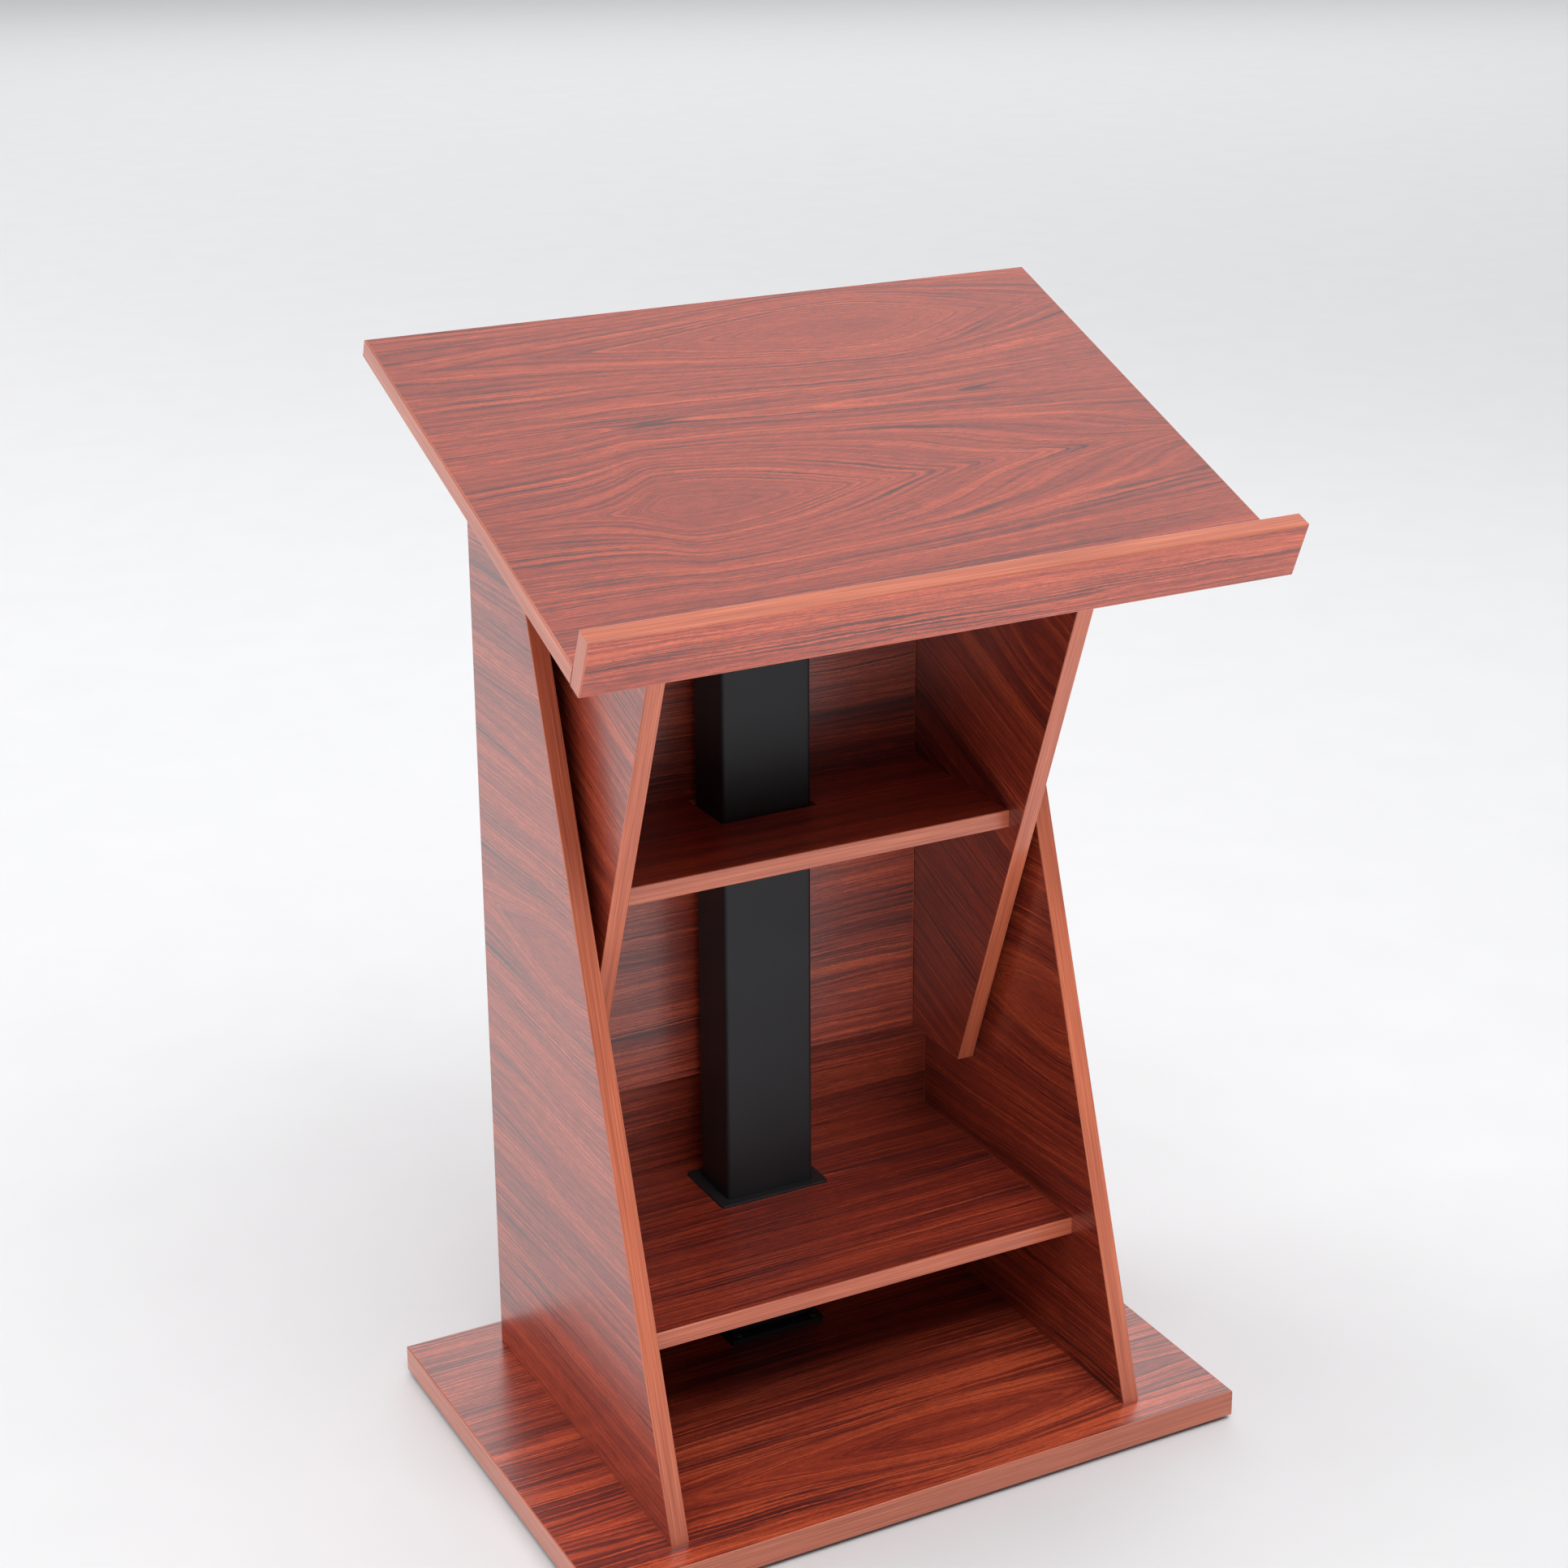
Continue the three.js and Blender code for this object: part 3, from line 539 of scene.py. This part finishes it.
def make_piece(name, shape, materials, body, replaced=(), smooth_below=42):
    """Turns a shape into a piece that rides on a body and stands for the replaced CAD nodes."""
    bmesh.ops.recalc_face_normals(shape, faces=shape.faces)
    mesh = bpy.data.meshes.new(name)
    shape.to_mesh(mesh)
    shape.free()
    for material in materials:
        mesh.materials.append(material)
    for face in mesh.polygons:
        face.use_smooth = True
    mesh.set_sharp_from_angle(angle=math.radians(smooth_below))
    piece = bpy.data.objects.new(name, mesh)
    bpy.context.scene.collection.objects.link(piece)
    weighting = piece.modifiers.new("even_shading", "WEIGHTED_NORMAL")
    weighting.keep_sharp = True
    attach(piece, body)
    if replaced:
        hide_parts(*replaced)
    return piece


def lay_grain(shape, across_board, grain):
    """Laminate on a board's two faces and edge band on the rest, with its lengths as coordinates. The
    board's second face shows another stretch of the veneer."""
    layer = shape.loops.layers.uv.new(GRAIN_UV)
    side = across_board.cross(grain)
    flat_enough, second_stretch = 0.98, 0.83
    for face in shape.faces:
        lean = face.normal.dot(across_board)
        if abs(lean) > flat_enough:
            face.material_index = 0
            flip, along = (1, 0) if lean > 0 else (-1, second_stretch)
            for loop in face.loops:
                place = loop.vert.co
                loop[layer].uv = (place.dot(grain) + along, flip * place.dot(side))
            continue
        face.material_index = 1
        outward = (face.normal - across_board * lean).normalized()
        edge_way = across_board.cross(outward)
        for loop in face.loops:
            place = loop.vert.co
            depth = place.dot(across_board)
            loop[layer].uv = (place.dot(edge_way), depth)


def add_board(node, across_board, grain, laminate):
    """One board, with all but its shortest edges slightly rounded."""
    shape = cad_shape(node)
    round_edges(shape, 1.0 * MM, 3, shortest=20 * MM)
    lay_grain(shape, across_board, grain)
    make_piece("fine_" + node, shape, [laminate, EDGE_BAND], BODY_OF[node], [node])


# Hearts of the log: their place on the board, (rise, reach) to the left and to the right, and width.
DESK_HEARTS = (
    (0.10, 0.452, (0.040, 0.16), (0.050, 0.10), 0.034),
    (-0.142, 0.2565, (0.030, 0.03), (0.085, 0.20), 0.050),
)
BASE_HEARTS = ((0.05, -0.105, (0.030, 0.12), (0.030, 0.12), 0.030),)
OUTER_LEFT_HEARTS = ((0.85, -0.437, (0.022, 0.06), (0.030, 0.08), 0.030),)
OUTER_RIGHT_HEARTS = ((0.81, -0.330, (0.022, 0.05), (0.030, 0.07), 0.030),)
INNER_RIGHT_HEARTS = ((1.03, -0.620, (0.030, 0.08), (0.040, 0.10), 0.040),)

# Node, direction across the board, direction of the grain, laminate, hearts, shift, contrast, lift.
BOARDS = (
    ("desk_top", OFF_DESK, X, "mahogany_desk", DESK_HEARTS, (0.0, 0.0), 0.75, 0.0),
    ("paper_ledge", UP_DESK, X, "mahogany_ledge", (), (0.7, 0.31), 0.85, 0.035),
    ("base_board", Z, X, "mahogany_base", BASE_HEARTS, (0.2, 0.9), 1.5, -0.02),
    ("lower_shelf", Z, X, "mahogany_lower_shelf", (), (1.4, 1.3), 1.1, -0.015),
    ("upper_shelf", Z, X, "mahogany_upper_shelf", (), (2.3, 1.9), 1.1, 0.02),
    ("support_board", Z, X, "mahogany_support_board", (), (3.1, 2.2), 1.1, 0.0),
    ("outer_back_panel", -Y, X, "mahogany_outer_back", (), (3.9, 2.6), 1.1, 0.0),
    ("inner_back_panel", -Y, X, "mahogany_inner_back", (), (4.7, 3.0), 1.1, 0.0),
    ("outer_panel_left", X, Y, "mahogany_outer_left", OUTER_LEFT_HEARTS, (5.5, 3.3), 0.85, 0.0),
    ("outer_panel_right", X, Y, "mahogany_outer_right", OUTER_RIGHT_HEARTS, (6.2, 3.7), 1.1, 0.0),
    ("inner_panel_left", X, UP_DESK, "mahogany_inner_left", (), (7.0, 4.1), 1.1, 0.0),
    ("inner_panel_right", X, UP_DESK, "mahogany_inner_right", INNER_RIGHT_HEARTS, (7.9, 4.6), 1.1, -0.015),
)


def add_boards():
    """Each board has a laminate of its own, so no two show the same grain."""
    for node, across_board, grain, *laminate in BOARDS:
        add_board(node, across_board, grain, mahogany(*laminate))


# ---------- column ----------

def slot_of(node):
    """The record's material slot of a CAD node."""
    return NODES[node].data.materials[0].name


def add_for_node(node, shape, extra_materials=(), smooth_below=42):
    """Makes the piece that stands for one CAD node, in that node's own finish."""
    materials = [LOOKS[slot_of(node)], *extra_materials]
    name = "fine_" + node
    return make_piece(name, shape, materials, BODY_OF[node], [node], smooth_below)


def middle(node):
    """The centre of a CAD node's box."""
    lo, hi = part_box(node)
    return (lo + hi) / 2


def add_tubes():
    """The column's outer and inner tube."""
    wall = 2 * MM
    for node, corner in (("column_outer_tube", 4 * MM), ("column_inner_tube", 3 * MM)):
        shape = bmesh.new()
        add_tube(shape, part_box(node), corner, wall)
        add_for_node(node, shape)


def add_collar():
    """The thin plate that closes the shelf's cut-out, with a broken edge all round."""
    lo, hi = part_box("column_collar")
    x, y = middle("column_collar").x, middle("column_collar").y
    width, depth, corner, edge = hi.x - lo.x, hi.y - lo.y, 4 * MM, 0.6 * MM
    tube_lo, tube_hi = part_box("column_outer_tube")
    room = 0.3 * MM
    hole = (tube_hi.x - tube_lo.x + 2 * room, tube_hi.y - tube_lo.y + 2 * room, corner)
    shape = bmesh.new()
    add_sleeve(shape, x, y, [
        (lo.z, width, depth, corner),
        (hi.z - edge, width, depth, corner),
        (hi.z - 0.3 * edge, width - edge, depth - edge, corner - 0.5 * edge),
        (hi.z, width - 2 * edge, depth - 2 * edge, corner - edge),
        (hi.z, hole[0] + edge, hole[1] + edge, hole[2] + 0.5 * edge),
        (hi.z - 0.5 * edge, *hole),
        (lo.z, *hole),
    ])
    add_for_node("column_collar", shape)


def add_softened(node, width, segments=2, shortest=0.0):
    """A CAD node's own shape with its edges rounded."""
    shape = cad_shape(node)
    round_edges(shape, width, segments, shortest)
    add_for_node(node, shape)


def add_plates_and_bushings():
    for node in ("column_foot_plate", "column_head_plate"):
        add_softened(node, 0.5 * MM, shortest=2.5 * MM)
    for node in ("upper_glide_bushing", "lower_glide_bushing"):
        add_softened(node, 0.2 * MM)


def foot_of(node):
    """The middle of the underside of a CAD node's box."""
    foot = middle(node)
    foot.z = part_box(node)[0].z
    return foot


def height_of(node):
    lo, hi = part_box(node)
    return hi.z - lo.z


def add_nut_tube():
    foot, length = foot_of("nut_tube"), height_of("nut_tube")
    outside, inside = 12 * MM, 9.5 * MM
    shape = bmesh.new()
    add_turned(shape, foot, Z, [
        (0, outside), (length - 0.4 * MM, outside), (length, outside - 0.4 * MM),
        (length, inside + 0.3 * MM), (length - 0.3 * MM, inside), (4 * MM, inside),
    ], 48)
    add_for_node("nut_tube", shape)


def add_spindle_nut():
    """A ring. Corners of almost half the width make each of its levels round."""
    foot, length = foot_of("spindle_nut"), height_of("spindle_nut")
    outside, bore, edge, flat = 14 * MM, 7.4 * MM, 0.8 * MM, 0.01 * MM
    loops = [
        (edge, outside), (length - edge, outside), (length, outside - edge), (length, bore + edge),
        (length - edge, bore), (edge, bore), (0, bore + edge), (0, outside - edge),
    ]
    shape = bmesh.new()
    add_sleeve(shape, foot.x, foot.y, [(foot.z + z, 2 * r, 2 * r, r - flat) for z, r in loops])
    add_for_node("spindle_nut", shape)


def add_lead_screw():
    """A rod with a real trapezoidal thread of 8 mm lead, and a plain journal in the gearbox."""
    foot, length = foot_of("lead_screw"), height_of("lead_screw")
    crest, root, lead, steps = 7 * MM, 5.6 * MM, 8 * MM, 16
    journal, run_out, edge = 36 * MM, 6 * MM, 1 * MM
    threaded = length - journal
    shape = bmesh.new()
    add_turned(shape, foot, Z, [
        (0, 4.5 * MM), (edge, root), (threaded + run_out, root),
        (threaded + run_out, crest), (length - edge, crest), (length, crest - edge),
    ])
    sunk = root - 0.1 * MM
    profile = [(0.0, sunk), (0.16 * lead, crest), (0.42 * lead, crest), (0.58 * lead, sunk)]
    previous = None
    for i in range(int(threaded / lead * steps)):
        angle, height = math.tau * i / steps, lead * i / steps + edge
        way = Vector((math.cos(angle), math.sin(angle), 0))
        section = [shape.verts.new(foot + way * radius + Z * (height + rise)) for rise, radius in profile]
        if previous:
            for k in range(len(profile)):
                j = (k + 1) % len(profile)
                shape.faces.new((previous[k], section[k], section[j], previous[j]))
        else:
            shape.faces.new(section)
        previous = section
    shape.faces.new(previous)
    add_for_node("lead_screw", shape)


# ---------- fasteners and glides ----------

def pan_head(reach, height):
    """Profile of a pan head with a cross recess, measured from the face it sits on."""
    return [
        (0, reach), (0.3 * height, reach), (0.68 * height, 0.87 * reach), (0.93 * height, 0.68 * reach),
        (height, 0.55 * reach, "cross"), (0.55 * height, 0.42 * reach, "cross"),
        (0.35 * height, 0.12 * reach, "cross"),
    ]


def add_pan_screw(shape, face, axis, size):
    """Adds a pan-head screw whose head sits on a face and points along axis."""
    reach, height, shank, length = (measure * MM for measure in size)
    add_turned(shape, face, axis, [
        (-length, 0.3 * shank), (-length + 2 * MM, shank), (0, shank), *pan_head(reach, height),
    ])


def add_plate_screws():
    """The screws of the column's two plates: the foot's point down and the head's point up."""
    head = PLATE_SCREW[1] * MM
    for n in range(1, 5):
        for node, up in ((f"foot_screw_{n}", 1), (f"head_screw_{n}", -1)):
            lo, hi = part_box(node)
            face = middle(node)
            face.z = hi.z - head if up > 0 else lo.z + head
            shape = bmesh.new()
            add_pan_screw(shape, face, Z * up, PLATE_SCREW)
            add_for_node(node, shape)


def add_base_screws():
    """Flat heads with a cross recess, level with the base's underside."""
    for n in range(1, 5):
        node = f"base_screw_{n}"
        length = height_of(node)
        shape = bmesh.new()
        add_turned(shape, foot_of(node), -Z, [
            (-length, 0.6 * MM), (-length + 4 * MM, 2.9 * MM), (-3.2 * MM, 2.9 * MM),
            (-0.4 * MM, 4.9 * MM), (0, 4.8 * MM), (0, 2.7 * MM, "cross"),
            (-1.6 * MM, 1.9 * MM, "cross"), (-2 * MM, 0.5 * MM, "cross"),
        ])
        add_for_node(node, shape)


def add_cam_fittings():
    """Cam discs in the shelves' undersides, each with its bolt into the side panel."""
    radius, bolt_height = 7.5 * MM, 7.5 * MM
    for shelf in ("lower_shelf", "upper_shelf"):
        for hand, side in HANDS:
            for end in ENDS:
                node = f"{shelf}_cam_{hand}_{end}"
                lo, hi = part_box(node)
                x = hi.x - radius if side < 0 else lo.x + radius
                disc = Vector((x, middle(node).y, lo.z))
                shape = bmesh.new()
                add_turned(shape, disc, -Z, [
                    (-12.5 * MM, 7 * MM), (-12 * MM, radius), (-0.4 * MM, radius), (0, 7.1 * MM),
                    (0, 5.6 * MM), (-0.5 * MM, 5.2 * MM), (-0.5 * MM, 3.4 * MM, "cross"),
                    (-2.2 * MM, 2.6 * MM, "cross"), (-2.6 * MM, 0.7 * MM, "cross"),
                ])
                add_turned(shape, disc + Z * bolt_height, X * side, [
                    (6 * MM, 2.4 * MM), (6.6 * MM, 3 * MM), (33.4 * MM, 3 * MM), (34 * MM, 2.5 * MM),
                    (44 * MM, 2.5 * MM), (45 * MM, 1.4 * MM),
                ], 20)
                add_for_node(node, shape)


def add_glides():
    """Round plastic feet with a nail hole in the middle."""
    for end in ENDS:
        for hand, _ in HANDS:
            node = f"glide_{end}_{hand}"
            shape = bmesh.new()
            add_turned(shape, foot_of(node), Z, [
                (1.6 * MM, 2 * MM), (1.6 * MM, 3.4 * MM), (0, 4.4 * MM), (0, 10.6 * MM),
                (0.4 * MM, 11.4 * MM), (1.2 * MM, 12 * MM), (3.4 * MM, 12 * MM), (4 * MM, 11.6 * MM),
            ], 40)
            add_for_node(node, shape)


def add_brackets():
    """Bent steel angles, each held by two screws up into the desk and two into the side panel."""
    half_leg, thick, out, apart = 15 * MM, 2.5 * MM, 17 * MM, 18 * MM
    for hand, side in HANDS:
        for end in ENDS:
            node = f"desk_bracket_{hand}_{end}"
            add_softened(node, 0.7 * MM, 3)
            bend = middle(node) + X * side * half_leg + OFF_DESK * half_leg
            shape = bmesh.new()
            for place in (-apart, apart):
                along = bend + UP_DESK * place
                under_desk = along - X * side * out - OFF_DESK * thick
                on_panel = along - X * side * thick - OFF_DESK * out
                add_pan_screw(shape, under_desk, -OFF_DESK, BRACKET_SCREW)
                add_pan_screw(shape, on_panel, -X * side, BRACKET_SCREW)
            name = f"bracket_screws_{hand}_{end}"
            make_piece(name, shape, [LOOKS["zinc_steel"]], BODY_OF[node])


# ---------- drive, control box, handset and cables ----------

def add_corner_screws(name, node, inset, size):
    """Four screws up into the corners of a housing's underside."""
    lo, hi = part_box(node)
    shape = bmesh.new()
    for x in (lo.x + inset, hi.x - inset):
        for y in (lo.y + inset, hi.y - inset):
            add_pan_screw(shape, Vector((x, y, lo.z)), -Z, size)
    make_piece(name, shape, [LOOKS["zinc_steel"]], "carriage")


def add_gearbox():
    add_softened("gearbox_housing", 1.2 * MM, 3, shortest=1 * MM)
    add_corner_screws("gearbox_screws", "gearbox_housing", 5.5 * MM, GEARBOX_SCREW)


def add_motor():
    """A round motor with a rolled front flange, a pressed seam and a screwed end cap."""
    start = middle("drive_motor")
    start.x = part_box("drive_motor")[0].x
    body, cap, length = 24 * MM, 21 * MM, 92 * MM
    shape = bmesh.new()
    add_turned(shape, start, X, [
        (0, body - 0.8 * MM), (0.8 * MM, body), (5.4 * MM, body), (6 * MM, body - 0.6 * MM),
        (6 * MM, body - 1.2 * MM), (7 * MM, body - 1.2 * MM), (7 * MM, body - 0.6 * MM), (7.6 * MM, body),
        (77 * MM, body), (77.6 * MM, body - 0.6 * MM), (77.6 * MM, body - 1.1 * MM),
        (78.6 * MM, body - 1.1 * MM), (78.6 * MM, body - 0.6 * MM), (79.2 * MM, body), (85 * MM, body),
        (86 * MM, body - 1 * MM), (86 * MM, cap), (90.6 * MM, cap), (length, cap - 1.4 * MM),
        (length, 8 * MM), (91 * MM, 7.4 * MM), (91 * MM, 3 * MM), (91.6 * MM, 2.4 * MM),
    ], 64)
    add_for_node("drive_motor", shape)
    screws = bmesh.new()
    count, from_middle = 3, 14 * MM
    for i in range(count):
        angle = math.tau * i / count + math.pi / 2
        place = start + X * length + (Y * math.cos(angle) + Z * math.sin(angle)) * from_middle
        add_pan_screw(screws, place, X, MOTOR_SCREW)
    make_piece("motor_screws", screws, [LOOKS["zinc_steel"]], "carriage")


def add_control_box():
    """The box with its lid seam, cooling ribs and corner screws underneath."""
    add_softened("control_box", 1.2 * MM, 3, shortest=1 * MM)
    lo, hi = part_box("control_box")
    width, depth, corner, proud = hi.x - lo.x, hi.y - lo.y, 6 * MM, 0.4 * MM
    x, y = middle("control_box").x, middle("control_box").y
    shape = bmesh.new()
    low, high = lo.z + 2.4 * MM, lo.z + 4.2 * MM
    flush = (width, depth, corner)
    ridge = (width + 2 * proud, depth + 2 * proud, corner + proud)
    sunk = (width - 2 * MM, depth - 2 * MM, corner - 1 * MM)
    add_sleeve(shape, x, y, [
        (low, *flush), (low + proud, *ridge), (high - proud, *ridge), (high, *flush),
        (high, *sunk), (low, *sunk),
    ])
    ribs, pitch, half_length, half_width = 9, 8 * MM, 26 * MM, 1 * MM
    for i in range(ribs):
        rib_y = y + (i - ribs // 2) * pitch
        low_corner = (x - half_length, rib_y - half_width, lo.z - 1 * MM)
        high_corner = (x + half_length, rib_y + half_width, lo.z + 1 * MM)
        add_block(shape, low_corner, high_corner)
    round_edges(shape, 0.4 * MM, 2, shortest=1.5 * MM, least_angle=80)
    make_piece("control_box_ribs", shape, [LOOKS["black_plastic"]], "carriage")
    add_corner_screws("control_box_screws", "control_box", 8 * MM, CASE_SCREW)


def add_inlet():
    """The mains inlet's cup, with its three brass pins."""
    shape = cad_shape("power_inlet")
    centre = middle("power_inlet")
    cup_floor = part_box("power_inlet")[0].y + 2.1 * MM
    pins, reach = ((-6 * MM, -2 * MM), (0, 3 * MM), (6 * MM, -2 * MM)), 1.7 * MM
    for face in shape.faces:
        spot = face.calc_center_median()
        for pin_x, pin_z in pins:
            aside, above = spot.x - centre.x - pin_x, spot.z - centre.z - pin_z
            if abs(aside) < reach and abs(above) < reach and spot.y > cup_floor:
                face.material_index = 1
    round_edges(shape, 0.35 * MM, 2, shortest=4 * MM)
    add_for_node("power_inlet", shape, [brass()])


def arrow_mark(front, way):
    """A thin triangle let into a button's front. It points up or down the button."""
    tip, foot, half_width = 1.7 * MM, 1.2 * MM, 2 * MM
    corners = [front + OFF_DESK * way * tip]
    corners += [front - OFF_DESK * way * foot + X * side * half_width for side in (-1, 1)]
    sunk, proud = 0.3 * MM, 0.2 * MM
    mark = bmesh.new()
    inner = [mark.verts.new(corner + UP_DESK * sunk) for corner in corners]
    outer = [mark.verts.new(corner - UP_DESK * proud) for corner in corners]
    mark.faces.new(outer)
    mark.faces.new(list(reversed(inner)))
    for i in range(3):
        j = (i + 1) % 3
        mark.faces.new((inner[i], inner[j], outer[j], outer[i]))
    bmesh.ops.recalc_face_normals(mark, faces=mark.faces)
    round_edges(mark, 0.1 * MM, 2)
    return mark


def add_handset():
    """The case with its two screws, and the two buttons with their arrows."""
    add_softened("handset_case", 1.0 * MM, 3, shortest=5 * MM)
    case, half_height, aside, up_case = middle("handset_case"), 9.5 * MM, 38 * MM, 18 * MM
    screws = bmesh.new()
    for side in (-1, 1):
        face = case + X * side * aside + UP_DESK * up_case - OFF_DESK * half_height
        add_pan_screw(screws, face, -OFF_DESK, CASE_SCREW)
    make_piece("handset_screws", screws, [LOOKS["zinc_steel"]], "carriage")
    to_front = 3.6 * MM
    for node, body, way in (("up_button", "up_key", 1), ("down_button", "down_key", -1)):
        add_softened(node, 0.8 * MM, 4)
        mark = arrow_mark(middle(node) - UP_DESK * to_front, way)
        make_piece(f"{node}_arrow", mark, [WHITE_MARK], body)


def cable_centre(node, x):
    """The middle of a cable where it passes x."""
    reach = 7 * MM
    near = [v.co for v in NODES[node].data.vertices if abs(v.co.x - x) < reach]
    return sum(near, Vector()) / len(near)


def add_clip(name, place, up, side, room):
    """A saddle clip that holds a cable against the board above it. room is from the cable's centre to
    the board."""
    inner, thick, wide, foot, screw_place = 2.7 * MM, 1.1 * MM, 8 * MM, 9 * MM, 6.5 * MM
    outer, steps = inner + thick, 12
    outside = [(-foot, room), (-foot, room - thick), (-outer, room - thick)]
    inside = [(-inner, room)]
    for step in range(steps + 1):
        angle = math.pi * (1 + step / steps)
        outside.append((outer * math.cos(angle), outer * math.sin(angle)))
        inside.append((inner * math.cos(angle), inner * math.sin(angle)))
    outside += [(outer, room - thick), (foot, room - thick), (foot, room)]
    inside += [(inner, room)]
    outline = outside + list(reversed(inside))
    shape = bmesh.new()
    ends = []
    for end in (-wide / 2, wide / 2):
        ends.append([shape.verts.new(place + X * end + side * a + up * b) for a, b in outline])
    count = len(outline)
    for i in range(count):
        j = (i + 1) % count
        shape.faces.new((ends[0][i], ends[0][j], ends[1][j], ends[1][i]))
    for end in ends:
        shape.faces.new(end)
    for way in (-1, 1):
        face = place + side * way * screw_place + up * (room - thick)
        add_pan_screw(shape, face, -up, CLIP_SCREW)
    make_piece(name, shape, [LOOKS["black_plastic"]], "carriage")


def add_boot(name, place, way):
    """A ribbed, tapered strain relief where a cable goes into a housing."""
    ribs = 4
    profile = [(0, 4.6 * MM), (1.4 * MM, 4.6 * MM), (1.6 * MM, 4.0 * MM)]
    for i in range(ribs):
        start, radius = (2 + 2.2 * i) * MM, (4.0 - 0.25 * i) * MM
        profile += [(start, radius - 0.5 * MM), (start + 0.6 * MM, radius - 0.5 * MM),
                    (start + 0.8 * MM, radius), (start + 1.8 * MM, radius - 0.1 * MM)]
    profile.append((11.4 * MM, 2.6 * MM))
    shape = bmesh.new()
    add_turned(shape, place, way, profile)
    make_piece(name, shape, [LOOKS["cable_jacket"]], "carriage")


def add_cables():
    """Both cables with their clips, and a strain relief at each end."""
    for node in ("motor_cable", "handset_cable"):
        piece = add_for_node(node, cad_shape(node), smooth_below=60)
        rounder = piece.modifiers.new("rounder", "SUBSURF")
        rounder.levels = rounder.render_levels = 2
    motor_clips, handset_clips, to_desk = (25 * MM, -12 * MM), (35 * MM, -15 * MM), 9.8 * MM
    board_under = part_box("control_box")[1].z
    for n, x in enumerate(motor_clips, 1):
        place = cable_centre("motor_cable", x)
        add_clip(f"motor_cable_clip_{n}", place, Z, Y, board_under - place.z)
    under_desk = middle("handset_case") + OFF_DESK * to_desk
    for n, x in enumerate(handset_clips, 1):
        place = cable_centre("handset_cable", x)
        room = (under_desk - place).dot(OFF_DESK)
        add_clip(f"handset_cable_clip_{n}", place, OFF_DESK, UP_DESK, room)
    motor, box, case = middle("drive_motor"), middle("control_box"), middle("handset_case")
    motor_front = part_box("drive_motor")[0].y + 0.4 * MM
    box_front, box_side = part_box("control_box")[0].y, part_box("control_box")[1].x
    on_motor_x, on_box_y, half_case = 108 * MM, 41.4 * MM, 29 * MM
    add_boot("motor_boot", Vector((on_motor_x, motor_front, motor.z)), -Y)
    add_boot("control_box_boot_side", Vector((box_side, on_box_y, box.z)), X)
    add_boot("control_box_boot_front", Vector((box.x, box_front, box.z)), -Y)
    add_boot("handset_boot", case + UP_DESK * half_case, UP_DESK)


# ---------- the whole lectern ----------

add_camera()
add_studio()
add_floor()
EDGE_BAND = edge_band()
WHITE_MARK = moulded_plastic("white_mark", (0.70, 0.70, 0.69), (0.80, 0.80, 0.79))
LOOKS = {
    "black_powder_coat": powder_coat(),
    "black_plastic": moulded_plastic("black_moulded_plastic", (0.016, 0.016, 0.018), (0.026, 0.026, 0.028)),
    "grey_plastic": moulded_plastic("grey_moulded_plastic", (0.26, 0.27, 0.29), (0.32, 0.33, 0.35)),
    "nylon": moulded_plastic("natural_acetal", (0.68, 0.65, 0.57), (0.78, 0.75, 0.68)),
    "zinc_steel": zinc_plate(),
    "cable_jacket": cable_rubber(),
}
add_boards()
add_tubes()
add_collar()
add_plates_and_bushings()
add_nut_tube()
add_spindle_nut()
add_lead_screw()
add_plate_screws()
add_base_screws()
add_cam_fittings()
add_glides()
add_brackets()
add_gearbox()
add_motor()
add_control_box()
add_inlet()
add_handset()
add_cables()
